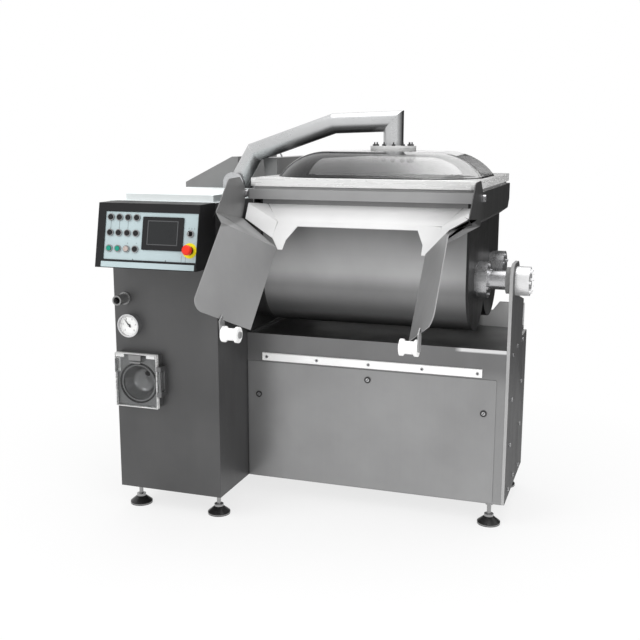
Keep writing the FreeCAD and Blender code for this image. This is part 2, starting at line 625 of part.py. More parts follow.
def button_bezels():
    item = new_body("button_bezels")
    places = [(x, z) for name, x, z in BUTTONS]
    places.append(("key_x", "0 - key_row"))
    rings = [(x, z, "bezel_radius") for x, z in places]
    rings.append(("stop_x", "0 - stop_row", "stop_collar_radius"))
    pad(item, "XZ", "console_sheet - bezel_height", "bezel_height", *rings)
    places.append(("stop_x", "0 - stop_row"))
    pad(item, "XZ", "console_sheet", "bezel_depth", *[(x, z, BEZEL_NECK) for x, z in places])
    bores = [(x, z, "button_radius + button_fit") for x, z in places[:-1]]
    bores.append(("stop_x", "0 - stop_row", "stop_stem_radius + button_fit"))
    pocket(item, "XZ", "console_sheet - bezel_height - 1", "bezel_height + bezel_depth + 2", *bores)
    return on_console(item)


def press_button(name, x, z):
    item = new_body(name)
    face = "console_sheet - bezel_height"
    pad(item, "XZ", "%s - button_rise" % face, "button_body", (x, z, "button_radius"))
    pocket(item, "XZ", "%s - button_rise - 1" % face, "1 + button_dish",
           (x, z, "button_radius - 2.5"))
    return on_console(item)


def stop_button():
    item = new_body("stop_button")
    profile = [("0", "0 - stop_head_top"), ("stop_head_radius - 5", "0 - stop_head_top"),
               ("stop_head_radius", "5 - stop_head_top"), ("stop_head_radius", "0 - stop_head_bottom"),
               ("stop_stem_radius", "0 - stop_head_bottom"), ("stop_stem_radius", "bezel_depth"),
               ("0", "bezel_depth")]
    base = new_sketch(item, "YZ", "stop_x")
    line = base.addGeometry(Part.LineSegment(Vector(0, -val("stop_row"), 0),
                                             Vector(100, -val("stop_row"), 0)), True)
    pin_point(base, line, 1, "0", "0 - stop_row")
    pin_point(base, line, 2, "100", "0 - stop_row")
    outline(base, [(y, "%s - stop_row" % r) for r, y in profile])
    spin = item.newObject("PartDesign::Revolution", "Revolution")
    spin.Profile = base
    spin.ReferenceAxis = (base, ["Axis0"])
    spin.Angle = 360
    return on_console(item)


def key_switch():
    item = new_body("key_switch")
    face = "console_sheet - bezel_height"
    pad(item, "XZ", face + " - 1.5", "20", ("key_x", "0 - key_row", "key_barrel_radius"))
    pad(item, "XZ", face + " - 13", "12",
        rect("key_x - key_bar_width / 2", "0 - key_row - 8", "key_x + key_bar_width / 2",
             "key_bar_reach - key_row - 4", "1.5"))
    return on_console(item)


def touch_screen():
    item = new_body("touch_screen")
    pad(item, "XZ", "console_sheet - screen_proud", "screen_proud",
        rect("screen_left", "0 - screen_bottom", "screen_right", "0 - screen_top", "4"))
    pad(item, "XZ", "console_sheet", "screen_depth",
        rect("screen_left + screen_body_inset", "screen_body_inset - screen_bottom",
             "screen_right - screen_body_inset", "0 - screen_body_inset - screen_top"))
    pocket(item, "XZ", "console_sheet - screen_proud - 1", "1 + screen_recess",
           rect("screen_left + screen_frame_x", "screen_frame_bottom - screen_bottom",
                "screen_right - screen_frame_x", "0 - screen_frame_top - screen_top"))
    return on_console(item)


# --- instruments on the cabinet front ---

def gauge_case():
    item = new_body("gauge_case")
    front = "0 - cabinet_front - gauge_depth"
    pad(item, "XZ", front, "gauge_depth", ("gauge_x", "gauge_z", "gauge_radius"))
    pocket(item, "XZ", front + " - 1", "gauge_well + 1",
           ("gauge_x", "gauge_z", "gauge_radius - gauge_rim"))
    pad(item, "XZ", front + " + 4", "gauge_well - 3", ("gauge_x", "gauge_z", "needle_pin_radius"))
    return item


def gauge_needle():
    item = new_body("gauge_needle")
    dial = "0 - cabinet_front - gauge_depth + gauge_well - needle_lift - needle_thick"
    half = "needle_width / 2"
    pad(item, "XZ", dial, "needle_thick",
        [("gauge_x - needle_tail * 0.766", "gauge_z + needle_tail * 0.643 - 2"),
         ("gauge_x - needle_length * 0.643", "gauge_z + needle_length * 0.766"),
         ("gauge_x + needle_tail * 0.643 + 1", "gauge_z - needle_tail * 0.766 + 3"),
         ("gauge_x + needle_tail * 0.643 - 3", "gauge_z - needle_tail * 0.766 - 1")])
    pad(item, "XZ", dial, "needle_thick", ("gauge_x", "gauge_z", "needle_hub_radius"))
    pocket(item, "XZ", dial + " - 1", "needle_thick + 2",
           ("gauge_x", "gauge_z", "needle_pin_radius + 0.05"))
    return item


def vacuum_port():
    item = new_body("vacuum_port")
    pad(item, "XZ", "0 - cabinet_front - port_length", "port_length + port_inside",
        ("port_x", "port_z", "port_radius"))
    pad(item, "XZ", "0 - cabinet_front - port_collar", "port_collar",
        ("port_x", "port_z", "port_collar_radius"))
    pocket(item, "XZ", "0 - cabinet_front - port_length - 1", "port_length + port_inside + 2",
           ("port_x", "port_z", "port_bore"))
    return item


HINGE_Y = "0 - cabinet_front - filter_thick - ring_proud - door_gap - door_hinge_drop"


def filter_body():
    item = new_body("filter_body")
    front = "0 - cabinet_front - filter_thick"
    pad(item, "XZ", front, "filter_thick",
        rect("filter_left", "filter_bottom", "filter_right", "filter_top", "8"))
    pad(item, "XZ", "0 - cabinet_front", "bowl_depth - filter_thick + bowl_wall",
        ("filter_x", "filter_z", "bowl_radius + bowl_wall"))
    turn(item, "Groove", "YZ", "filter_x",
         [(front + " - 1", "filter_z"), (front + " - 1", "filter_z + bowl_radius"),
          (front + " + 12", "filter_z + bowl_radius"),
          (front + " + bowl_depth - 12", "filter_z + bowl_radius * 0.66", "30"),
          (front + " + bowl_depth", "filter_z")], "level", "filter_z")
    pocket(item, "XZ", front, "bowl_depth + 20",
           ("filter_x + 8", "filter_z + bowl_drain_lift", "bowl_drain"))
    pocket(item, "XZ", front + " - 1", "ring_groove + 1",
           ("filter_x", "filter_z", "ring_mid_radius + ring_half + ring_side_gap"),
           ("filter_x", "filter_z", "ring_mid_radius - ring_half - ring_side_gap"))
    pad(item, "XZ", "%s - hinge_ear_front" % HINGE_Y, "hinge_ear_front + hinge_ear_back",
        rect("door_hinge_x - hinge_ear_inner", "knuckle_low - hinge_ear - knuckle_gap",
             "door_hinge_x + hinge_ear_outer", "knuckle_low - knuckle_gap"),
        rect("door_hinge_x - hinge_ear_inner", "knuckle_high + knuckle_gap",
             "door_hinge_x + hinge_ear_outer", "knuckle_high + hinge_ear + knuckle_gap"))
    pad(item, "XZ", "0 - cabinet_front - 16", "16",
        rect("filter_right - 6", "knuckle_low - hinge_ear - knuckle_gap",
             "door_hinge_x + hinge_ear_outer", "knuckle_high + hinge_ear + knuckle_gap"))
    pad(item, "XY", "knuckle_low - 4", "knuckle_high - knuckle_low + 8",
        ("door_hinge_x", HINGE_Y, "hinge_pin_radius"))
    return item


def filter_ring():
    item = new_body("filter_ring")
    start = "0 - cabinet_front - filter_thick - ring_proud"
    pad(item, "XZ", start, "ring_proud + ring_groove",
        ("filter_x", "filter_z", "ring_mid_radius + ring_half"),
        ("filter_x", "filter_z", "ring_mid_radius - ring_half"))
    return item


def filter_door():
    item = new_body("filter_door")
    rear = "0 - cabinet_front - filter_thick - ring_proud - door_gap"
    pad(item, "XZ", rear + " - door_thick", "door_thick",
        rect("filter_left", "filter_bottom", "door_hinge_x - knuckle_radius - door_edge_gap",
             "filter_top", "8"))
    pad(item, "XY", "knuckle_low", "knuckle_high - knuckle_low",
        ("door_hinge_x", HINGE_Y, "knuckle_radius"))
    pad(item, "XY", "knuckle_low", "knuckle_high - knuckle_low",
        rect("door_hinge_x - knuckle_radius - door_edge_gap - 12", HINGE_Y + " - 5",
             "door_hinge_x", HINGE_Y + " + 5"))
    pocket(item, "XY", "knuckle_low - 1", "knuckle_high - knuckle_low + 2",
           ("door_hinge_x", HINGE_Y, "hinge_pin_radius + hinge_pin_fit"))
    pad(item, "XZ", rear + " - door_thick - door_pull_depth", "door_pull_depth + 1",
        rect("door_pull_x - 7", "door_pull_low", "door_pull_x + 7", "door_pull_high", "4"))
    return item


# --- hoods and hose on the roof ---

def roof_hoods():
    item = new_body("roof_hoods")
    pad(item, "XZ", "hood_front", "hood_rear - hood_front",
        [("hood_left_x", "cabinet_top"), ("hood_right_x", "cabinet_top"),
         ("hood_right_x", "hood_top"), ("hood_knee_x", "hood_top"),
         ("hood_left_x", "hood_left_z")])
    pocket(item, "XZ", "hood_front + hood_sheet", "hood_rear - hood_front - 2 * hood_sheet",
           [("hood_left_x + hood_sheet", "cabinet_top - 1"),
            ("hood_right_x - hood_sheet", "cabinet_top - 1"),
            ("hood_right_x - hood_sheet", "hood_top - hood_sheet"),
            ("hood_knee_x + 1", "hood_top - hood_sheet"),
            ("hood_left_x + hood_sheet", "hood_left_z - 2.4")])
    pad(item, "XZ", "hood_front", "hood_rear - hood_front",
        [("hood_b_foot", "cabinet_top"), ("hood_b_right", "cabinet_top"),
         ("hood_b_right", "hood_b_top"), ("hood_b_left", "hood_b_top")])
    pocket(item, "XZ", "hood_front + hood_sheet", "hood_rear - hood_front - 2 * hood_sheet",
           [("hood_b_foot + hood_sheet", "cabinet_top - 1"),
            ("hood_b_right - hood_sheet", "cabinet_top - 1"),
            ("hood_b_right - hood_sheet", "hood_b_top - hood_sheet"),
            ("hood_b_left + hood_sheet", "hood_b_top - hood_sheet")])
    return item


def sweep(owner, plane, at, path, radius, bore=None, transition=0):
    """A round section carried along an open path that starts upright in its plane."""
    spine = new_sketch(owner, plane, at)
    outline(spine, path, closed=False)
    section = new_sketch(owner, "XY", path[0][1])
    circle(section, path[0][0], at, radius)
    if bore:
        circle(section, path[0][0], at, bore)
    item = owner.newObject("PartDesign::AdditivePipe", "Pipe")
    item.Profile = section
    item.Spine = (spine, [])
    item.Transition = transition
    spine.Visibility = False
    section.Visibility = False
    return item


def hose_loop():
    item = new_body("hose_loop")
    sweep(item, "XZ", "hose_y",
          [("hose_left", "hood_b_top"), ("hose_left", "hose_peak - hose_radius", "24"),
           ("hose_right", "hose_peak - hose_radius", "24"), ("hose_right", "hood_b_top")],
          "hose_radius")
    return item


# --- tank ---

REAR_Y = "(shaft_y + shaft_gap)"
WALL_FRONT = "(shaft_y - trough_radius)"
WALL_REAR = "(shaft_y + shaft_gap + trough_radius)"


def w_section(item, action, at, length, radius, top):
    """Both round bottoms and the straight walls of the tank, as pads or pockets."""
    action(item, "YZ", at, length, ("shaft_y", "shaft_z", radius))
    action(item, "YZ", at, length, (REAR_Y, "shaft_z", radius))
    action(item, "YZ", at, length,
           rect("shaft_y - (%s)" % radius, "shaft_z", REAR_Y + " + (%s)" % radius, top))


def tank_trough():
    item = new_body("tank_trough")
    start = "tank_left + end_plate"
    length = "tank_right - tank_left - 2 * end_plate"
    w_section(item, pad, start, length, "trough_radius", "rim_bottom")
    w_section(item, pocket, start + " - 1", length + " + 2", "trough_radius - trough_wall",
              "rim_bottom + 1")
    return item


def tank_ends():
    item = new_body("tank_ends")
    for start in ("tank_left", "tank_right - end_plate"):
        w_section(item, pad, start, "end_plate", "trough_radius", "rim_bottom")
    pocket(item, "YZ", "tank_left - 1", "tank_right - tank_left + 2",
           ("shaft_y", "shaft_z", "shaft_radius + shaft_fit"),
           (REAR_Y, "shaft_z", "shaft_radius + shaft_fit"))
    return item


def tank_rim():
    item = new_body("tank_rim")
    wall = "trough_wall"
    inner = rect("tank_left + end_plate", WALL_FRONT + " + " + wall, "tank_right - end_plate",
                 WALL_REAR + " - " + wall)
    pad(item, "XY", "rim_bottom", "rim_top - rim_bottom",
        rect("rim_left", "0 - rim_front", "rim_right", "rim_rear", "rim_round"), inner)
    pocket(item, "XY", "rim_bottom - 1", "rim_top - rim_bottom - rim_sheet + 1",
           rect("rim_left + rim_sheet", "rim_sheet - rim_front", "rim_right - rim_sheet",
                "rim_rear - rim_sheet", "6"),
           rect("tank_left", WALL_FRONT, "tank_right", WALL_REAR))
    for outer, wall_x, step in (("rim_left", "tank_left", ""), ("rim_right", "tank_right", "0 - ")):
        inward = "%s + %sskirt_sheet" % (outer, step)
        pad(item, "XZ", "0 - skirt_front", "rim_rear + skirt_front - rim_round",
            [(outer, "rim_bottom + 1"), (outer, "rim_bottom - skirt_drop"),
             (wall_x, "rim_bottom - skirt_tail"), (wall_x, "rim_bottom - skirt_tail + 6"),
             (inward, "rim_bottom - skirt_drop + 3"), (inward, "rim_bottom + 1")])
    pocket(item, "YZ", "rim_left - 5", "rim_right - rim_left + 10",
           [("rim_rear + 5", "rim_bottom - skirt_tail - 5"), ("rim_rear + 5", "rim_bottom - 16"),
            ("rim_rear - skirt_cut", "rim_bottom - skirt_tail - 5")])
    return item


def pivot_bolts():
    item = new_body("pivot_bolts")
    gap = "wing_sheet / 2 + hanger_gap"
    for face, side in (("rim_left", "0 - "), ("rim_right", "")):
        plane = "middle_x + %shanger_offset" % side
        if side:
            pad(item, "YZ", "%s + %s" % (plane, gap), "%s - (%s + %s)" % (face, plane, gap),
                ("wing_pivot_y", "wing_pivot_z", "pivot_head"))
            pad(item, "YZ", "%s - %s" % (plane, gap), "2 * (%s) + 2" % gap,
                ("wing_pivot_y", "wing_pivot_z", "pivot_radius"))
            pad(item, "YZ", "%s - (%s) - pivot_head_length" % (plane, gap), "pivot_head_length",
                ("wing_pivot_y", "wing_pivot_z", "pivot_head"))
        else:
            pad(item, "YZ", face, "%s - (%s) - %s" % (plane, gap, face),
                ("wing_pivot_y", "wing_pivot_z", "pivot_head"))
            pad(item, "YZ", "%s - (%s) - 2" % (plane, gap), "2 * (%s) + 2" % gap,
                ("wing_pivot_y", "wing_pivot_z", "pivot_radius"))
            pad(item, "YZ", "%s + %s" % (plane, gap), "pivot_head_length",
                ("wing_pivot_y", "wing_pivot_z", "pivot_head"))
    return item


def bolt_ring(item, plane, at, height, centre, circle_radius, radius, count, start=0):
    places = []
    for i in range(count):
        angle = start + i * 360 / count
        places.append(("%s + %s * cos(%g)" % (centre[0], circle_radius, angle),
                       "%s + %s * sin(%g)" % (centre[1], circle_radius, angle), radius))
    return pad(item, plane, at, height, *places)


def bearing_housings():
    item = new_body("bearing_housings")
    centre = ("shaft_y", "shaft_z")
    pad(item, "YZ", "tank_right", "housing_ring", centre + ("housing_ring_radius",))
    pad(item, "YZ", "tank_right + housing_ring", "housing_front_end - tank_right - housing_ring",
        centre + ("housing_radius",))
    bolt_ring(item, "YZ", "housing_front_end", "housing_bolt_head", centre,
              "housing_bolt_circle", "housing_bolt_radius", 6, 30)
    pad(item, "YZ", "housing_front_end", "trunnion_end - housing_front_end",
        centre + ("trunnion_radius",))
    pocket(item, "YZ", "tank_right - 1", "journal_start + 2 - tank_right",
           centre + ("shaft_radius + shaft_fit",))
    pocket(item, "YZ", "tank_right + 2", "trunnion_bore - tank_right - 2",
           centre + ("journal_radius + shaft_fit",))
    centre = (REAR_Y, "shaft_z")
    pad(item, "YZ", "tank_right", "housing_ring", centre + ("housing_ring_radius",))
    pad(item, "YZ", "tank_right + housing_ring", "housing_rear_end - tank_right - housing_ring",
        centre + ("housing_radius",))
    bolt_ring(item, "YZ", "housing_rear_end", "housing_bolt_head", centre,
              "housing_bolt_circle", "housing_bolt_radius", 6, 30)
    pocket(item, "YZ", "tank_right - 1", "journal_start + 2 - tank_right",
           centre + ("shaft_radius + shaft_fit",))
    pocket(item, "YZ", "tank_right + 2", "rear_bore_end - tank_right - 2",
           centre + ("journal_radius + shaft_fit",))
    return item


def gear_case():
    item = new_body("gear_case")
    length = "tank_left - case_left"
    for y in ("shaft_y", REAR_Y):
        pad(item, "YZ", "case_left", length, (y, "shaft_z", "case_radius"))
    pad(item, "YZ", "case_left", length,
        rect("shaft_y", "shaft_z - case_radius", REAR_Y, "shaft_z + case_radius"))
    start = "case_left + case_cover"
    inner = "case_radius - case_wall"
    for y in ("shaft_y", REAR_Y):
        pocket(item, "YZ", start, length, (y, "shaft_z", inner))
    pocket(item, "YZ", start, length,
           rect("shaft_y", "shaft_z - (%s)" % inner, REAR_Y, "shaft_z + %s" % inner))
    pad(item, "YZ", "left_trunnion_end", "case_left - left_trunnion_end",
        ("shaft_y", "shaft_z", "left_trunnion_radius"))
    pad(item, "YZ", start, "12", (REAR_Y, "shaft_z", "journal_radius + 20"))
    pocket(item, "YZ", start + " - 5", "18", (REAR_Y, "shaft_z", "journal_radius + shaft_fit"))
    pocket(item, "YZ", "left_trunnion_end + left_bush", "case_left + case_cover - left_trunnion_end - left_bush + 1",
           ("shaft_y", "shaft_z", "left_trunnion_bore"))
    pocket(item, "YZ", "left_trunnion_end - 1", "left_bush + 2",
           ("shaft_y", "shaft_z", "shaft_radius + shaft_fit"))
    return item


def trunnion_cap():
    item = new_body("trunnion_cap")
    centre = ("shaft_y", "shaft_z")
    face = "base_length + side_thick"
    pad(item, "YZ", face, "cap_length", centre + ("cap_radius",))
    pocket(item, "YZ", face + " - 1", "cap_depth + 1", centre + ("cap_hollow",))
    bolt_ring(item, "YZ", face + " + cap_length", "cap_bolt_head", centre,
              "cap_bolt_circle", "cap_bolt_radius", 6, 0)
    return item


def trunnion_bearing_left():
    item = new_body("trunnion_bearing_left")
    centre = ("shaft_y", "shaft_z")
    pad(item, "YZ", "0", "left_flange", centre + ("left_flange_radius",),
        centre + ("left_trunnion_radius + bore_clearance",))
    bolt_ring(item, "YZ", "left_flange", "3", centre, "left_bolt_circle", "left_bolt_radius", 6, 30)
    return item


# --- shafts, paddles and gears ---

def shaft_profile(steps):
    """Corners of a stepped shaft: pairs of end position and radius from left to right."""
    corners = [(steps[0][0], "shaft_z")]
    for x0, x1, radius in steps:
        corners.append((x0, "shaft_z + " + radius))
        corners.append((x1, "shaft_z + " + radius))
    corners.append((steps[-1][1], "shaft_z"))
    return corners


def shaft_with_gear(label, y, steps, tooth_at):
    """A turned shaft with its spur gear keyed on, both one piece."""
    turned = doc.addObject("PartDesign::Body", "Blank")
    turn(turned, "Revolution", "XZ", y, shaft_profile(steps), "level", "shaft_z")
    item = join([turned, spur_gear(y, tooth_at)])
    return keep(label, item)


def front_shaft():
    steps = [("front_shaft_left", "front_shaft_step", "journal_radius"),
             ("front_shaft_step", "journal_start", "shaft_radius"),
             ("journal_start", "front_shaft_right", "journal_radius")]
    return shaft_with_gear("front_shaft", "shaft_y", steps, 0)


def rear_shaft():
    steps = [("rear_shaft_left - 5", "rear_shaft_left + 12", "journal_radius"),
             ("rear_shaft_left + 12", "journal_start", "shaft_radius"),
             ("journal_start", "rear_shaft_right", "journal_radius")]
    half_tooth = 180 / val("gear_teeth")
    return shaft_with_gear("rear_shaft", REAR_Y, steps, 180 + half_tooth)


def paddle(x, y, angle):
    """One T-shaped paddle: clamping hub, radial arm and a blade set across at an angle."""
    z = val("shaft_z")
    hub = rod_shape(x - val("paddle_hub_width") / 2, x + val("paddle_hub_width") / 2, y, z,
                    val("paddle_hub"))
    arm_width, arm_thick = val("paddle_arm"), val("paddle_arm_thick")
    height = val("blade_width")
    top = val("paddle_reach")
    arm = Part.makeBox(arm_thick, arm_width, top - height / 2,
                       Vector(-arm_thick / 2, -arm_width / 2, 0))
    long, thick = val("blade_length"), val("blade_thick")
    blade = Part.makeBox(long, thick, height, Vector(-long / 2, -thick / 2, top - height))
    blade.rotate(Vector(), Vector(0, 0, 1), val("blade_angle"))
    head = arm.fuse(blade)
    head.rotate(Vector(), Vector(1, 0, 0), angle)
    head.translate(Vector(x, y, z))
    whole = hub.fuse(head)
    bore = rod_shape(x - 60, x + 60, y, z, val("shaft_radius + shaft_fit"))
    return whole.cut(bore).removeSplitter()


def paddle_set(label, y, offset, turn_sign):
    pieces = []
    for i in range(5):
        x = val("paddle_first + %d * paddle_pitch" % i) + offset
        pieces.append(paddle(x, val(y), turn_sign * i * val("paddle_step")))
    return solid_from(label, Part.makeCompound(pieces))


def spur_gear(y, tooth_at):
    """A spur gear with straight flanks round one shaft."""
    pitch = val("gear_module * gear_teeth / 2")
    count = int(val("gear_teeth"))
    half = math.pi * val("gear_module") / 4 - val("gear_play") / 2
    slant = math.tan(math.radians(20))
    tip, root = val("gear_addendum"), val("gear_dedendum")
    shape = []
    for radial, width in ((-root, half + root * slant), (tip, half - tip * slant)):
        shape.append((pitch + radial, width / pitch))
    flank = [(shape[0][0], -shape[0][1]), (shape[1][0], -shape[1][1]),
             (shape[1][0], shape[1][1]), (shape[0][0], shape[0][1])]
    points = []
    for i in range(count):
        middle = math.radians(tooth_at) + 2 * math.pi * i / count
        for radius, angle in flank:
            points.append(Vector(0, radius * math.cos(middle + angle),
                                 radius * math.sin(middle + angle)))
    face = Part.Face(Part.makePolygon(points + points[:1]))
    width = val("gear_width")
    solid = face.extrude(Vector(width, 0, 0))
    solid.translate(Vector(val("gear_start"), val(y), val("shaft_z")))
    item = doc.addObject("Part::Feature", "Gear")
    item.Shape = solid
    return item


# --- drives and pump ---

def tilt_gearbox():
    item = new_body("tilt_gearbox")
    pad(item, "XY", "tilt_bottom", "tilt_top - tilt_bottom",
        rect("tilt_left", "tilt_front", "tilt_right", "tilt_rear", "12"))
    pad(item, "XY", "tilt_bottom - tilt_motor", "tilt_motor",
        ("(tilt_left + tilt_right) / 2 - 12", "shaft_y", "tilt_motor_radius - 12"))
    pocket(item, "YZ", "tilt_left - 1", "tilt_right - tilt_left + 2",
           ("shaft_y", "shaft_z", "left_trunnion_radius + bore_clearance"))
    return item


def mixing_gearmotor():
    item = new_body("mixing_gearmotor")
    centre = ("shaft_y", "shaft_z")
    pad(item, "YZ", "gearbox_right", "tilt_left - gearbox_right", centre + ("lantern_radius",))
    half = "gearbox_half"
    pad(item, "YZ", "gearbox_left", "gearbox_right - gearbox_left",
        rect("shaft_y - " + half, "shaft_z - " + half, "shaft_y + " + half,
             "shaft_z + " + half, "14"))
    pad(item, "YZ", "mix_motor_left", "gearbox_left - mix_motor_left",
        centre + ("mix_motor_radius",))
    pocket(item, "YZ", "gearbox_right", "tilt_left - gearbox_right + 1",
           centre + ("lantern_bore",))
    pocket(item, "YZ", "front_shaft_left - 5", "gearbox_right - front_shaft_left + 6",
           centre + ("journal_radius + shaft_fit",))
    return item


def vacuum_pump():
    floor = "base_bottom + base_sheet"
    body_top = floor + " + pump_height"
    axis_z = floor + " + 137"
    middle = "(pump_front + pump_rear) / 2"
    pieces = [block("pump_left", "pump_front", floor + " + pump_foot", "pump_left + 210",
                    "pump_rear", body_top),
              block("pump_left + 10", "pump_front + 10", floor, "pump_left + 50",
                    "pump_rear - 10", floor + " + pump_foot"),
              block("pump_left + 160", "pump_front + 10", floor, "pump_left + 200",
                    "pump_rear - 10", floor + " + pump_foot"),
              rod("X", "pump_left + 210", middle, axis_z, "pump_motor_radius",
                  "pump_right - pump_left - 210"),
              block("pump_right - 120", middle + " - 70", floor, "pump_right - 60",
                    middle + " + 70", axis_z),
              rod("Z", "pump_left + 60", middle, body_top, "pump_inlet", "60")]
    return keep("vacuum_pump", join(pieces))


# --- discharge lip and chute wings ---

def lip_point(offset, along):
    """A point of the discharge lip at an offset from the middle and a distance down it."""
    slope = math.radians(val("lip_slope"))
    return Vector(val("middle_x") + offset, val(WALL_FRONT) - along * math.cos(slope),
                  val("lip_z") - along * math.sin(slope))


def discharge_lip():
    reach = val("(rim_right - rim_left) / 2")
    half = [(reach - 68, -8), (reach - 137, 92), (reach - 138, 178), (reach - 174, 233),
            (reach - 194, 233), (reach - 197, 183), (reach - 229, 112)]
    corners = half + [(-a, s) for a, s in reversed(half)]
    whole = plate([lip_point(a, s) for a, s in corners], val("lip_sheet"))
    for side in (-1, 1):
        spots = [(reach, -150, 1352), (reach - 68, -102, 1347), (reach - 137, -170, 1280),
                 (reach - 138, -230, 1217), (reach, -184, 1290)]
        p = [Vector(val("middle_x") + side * a, y, z) for a, y, z in spots]
        thick = val("cheek_sheet")
        for trio in ((p[0], p[1], p[2]), (p[0], p[2], p[4]), (p[2], p[3], p[4])):
            whole = whole.fuse(plate(list(trio), thick))
    behind = Part.makeBox(val("rim_right + 166"), 60, 200, Vector(0, val(WALL_FRONT), 1200))
    return solid_from("discharge_lip", whole.cut(behind).removeSplitter())


def chute_wing(label, side):
    """Hanger, folded strip, sloping wing, ear and roller pin of one side of the chute."""
    middle = val("middle_x")
    hang = val("hanger_offset")

    def at(a, y, z):
        return Vector(middle + side * a, y, z)

    hanger = [at(hang, y, z) for y, z in ((-158, 1420), (-205, 1461), (-315, 1458),
                                          (-440, 1334), (-188, 1292), (-158, 1350))]
    thick = val("wing_sheet")
    front, back = hanger[3], hanger[4]
    top_front, top_back = at(hang - 56, -511, 1300), at(hang - 188, -278, 1184)
    drop = Vector(side * 5, -266, -283)
    low_front, low_back = top_front + drop, top_back + drop
    whole = plate(hanger, thick, {1: 14, 2: 30})
    whole = whole.fuse(plate([front, back, top_back], thick))
    whole = whole.fuse(plate([front, top_back, top_front], thick))
    whole = whole.fuse(plate([top_front, top_back, low_back, low_front], thick,
                             {3: val("wing_round")}))
    y, z = val("wing_pivot_y"), val("wing_pivot_z")
    x = middle + side * hang
    whole = whole.fuse(rod_shape(x - thick / 2, x + thick / 2, y, z, 18))
    whole = whole.cut(rod_shape(x - 9, x + 9, y, z, val("pivot_radius + pivot_fit")))
    ear = val("roller_ear")
    outer = val("roller_offset + roller_length / 2 + roller_gap")
    ry, rz = val("roller_y"), val("roller_z")
    ear_face = [at(outer + ear / 2, ry + dy, rz + dz)
                for dy, dz in ((-16, -14), (16, -14), (20, 40), (2, 72), (-26, 52))]
    whole = whole.fuse(plate(ear_face, ear, {0: 12, 1: 12}))
    inner = val("roller_offset - roller_length / 2 - roller_gap")
    whole = whole.fuse(rod_shape(middle + side * inner, middle + side * (outer + 1), ry, rz,
                                 val("roller_pin")))
    whole = whole.fuse(rod_shape(middle + side * inner,
                                 middle + side * (inner - val("roller_nut_length")), ry, rz,
                                 val("roller_nut")))
    return solid_from(label, whole.removeSplitter())


def roller(label, sign):
    item = new_body(label)
    middle = "middle_x + %sroller_offset" % sign
    left = middle + " - roller_length / 2"
    right = middle + " + roller_length / 2"
    z = "roller_z"
    turn(item, "Revolution", "XZ", "roller_y",
         [(left, z + " + roller_pin + roller_fit"), (left, z + " + roller_radius"),
          (left + " + roller_flange", z + " + roller_radius"),
          (left + " + roller_flange + 5", z + " + roller_waist"),
          (right + " - roller_flange - 5", z + " + roller_waist"),
          (right + " - roller_flange", z + " + roller_radius"),
          (right, z + " + roller_radius"), (right, z + " + roller_pin + roller_fit")],
         "level", z)
    return item


# --- lid ---

DOME_TOP = "(flange_top + dome_arc * (1 - cos(dome_angle)))"
DOME_RUN = "(dome_arc * sin(dome_angle))"
DOME_FOOT = ("(%s - sqrt((dome_arc - dome_wall)^2 - (dome_arc * cos(dome_angle))^2))"
             % DOME_RUN)


def dome_profile(item):
    """The bent wall of the dome between its foot and its flat top."""
    x = "dome_left + " + DOME_RUN
    z = DOME_TOP + " - dome_arc"
    centre = Vector(val(x), val(z), 0)
    foot = val("flange_top")
    ends = []
    for radius in ("dome_arc", "dome_arc - dome_wall"):
        size = val(radius)
        angle = math.pi - math.asin((foot - centre.y) / size)
        ring = Part.Circle(centre, Vector(0, 0, 1), size)
        arc = item.addGeometry(Part.ArcOfCircle(ring, math.pi / 2, angle))
        pin_point(item, arc, 3, x, z)
        row = item.addConstraint(Sketcher.Constraint("Radius", arc, size))
        tie(item, "Constraints[%d]" % row, radius)
        row = item.addConstraint(Sketcher.Constraint("DistanceX", -1, 1, arc, 1, val(x)))
        tie(item, "Constraints[%d]" % row, x)
        row = item.addConstraint(Sketcher.Constraint("DistanceY", -1, 1, arc, 2, foot))
        tie(item, "Constraints[%d]" % row, "flange_top")
        top = centre + Vector(0, size, 0)
        low = centre + Vector(size * math.cos(angle), size * math.sin(angle), 0)
        ends.append((arc, top, low))
    for position, spot in ((1, 1), (2, 2)):
        line = item.addGeometry(Part.LineSegment(ends[0][spot], ends[1][spot]))
        item.addConstraint(Sketcher.Constraint("Coincident", line, 1, ends[0][0], position))
        item.addConstraint(Sketcher.Constraint("Coincident", line, 2, ends[1][0], position))


def lid_dome():
    item = new_body("lid_dome")
    run = DOME_RUN
    left, right = "dome_left + " + run, "dome_right - " + run
    front, rear = "0 - dome_front + " + run, "dome_rear - " + run
    spine = new_sketch(item, "XY", DOME_TOP)
    outline(spine, [(left, front, "dome_corner"), (left, rear, "dome_corner"),
                    (right, rear, "dome_corner"), (right, front, "dome_corner")])
    section = new_sketch(item, "XZ", front + " + dome_corner")
    dome_profile(section)
    wall = item.newObject("PartDesign::AdditivePipe", "Pipe")
    wall.Profile = section
    wall.Spine = (spine, [])
    inset = DOME_FOOT
    pad(item, "XY", "lid_seal_top", "flange_top - lid_seal_top",
        rect("lid_left", "0 - lid_front", "lid_right", "lid_rear", "lid_round"),
        rect("dome_left + " + inset, inset + " - dome_front", "dome_right - " + inset,
             "dome_rear - " + inset, "%s + dome_corner - %s" % (run, inset)))
    pad(item, "XY", DOME_TOP + " - dome_wall", "dome_wall",
        [(left, front, "dome_corner"), (right, front, "dome_corner"),
         (right, rear, "dome_corner"), (left, rear, "dome_corner")])
    pocket(item, "XY", DOME_TOP + " - dome_wall - 1", "dome_wall + 2",
           ("arm_x", "arm_y", "dome_hole"), *bolt_circles("lid_bolt_radius + lid_bolt_gap"))
    return item


def bolt_circles(radius):
    places = []
    for i in range(SIZES["lid_bolts"]):
        angle = i * 360 / SIZES["lid_bolts"] + 15
        places.append(("arm_x + lid_bolt_circle * cos(%g)" % angle,
                       "arm_y + lid_bolt_circle * sin(%g)" % angle, radius))
    return places


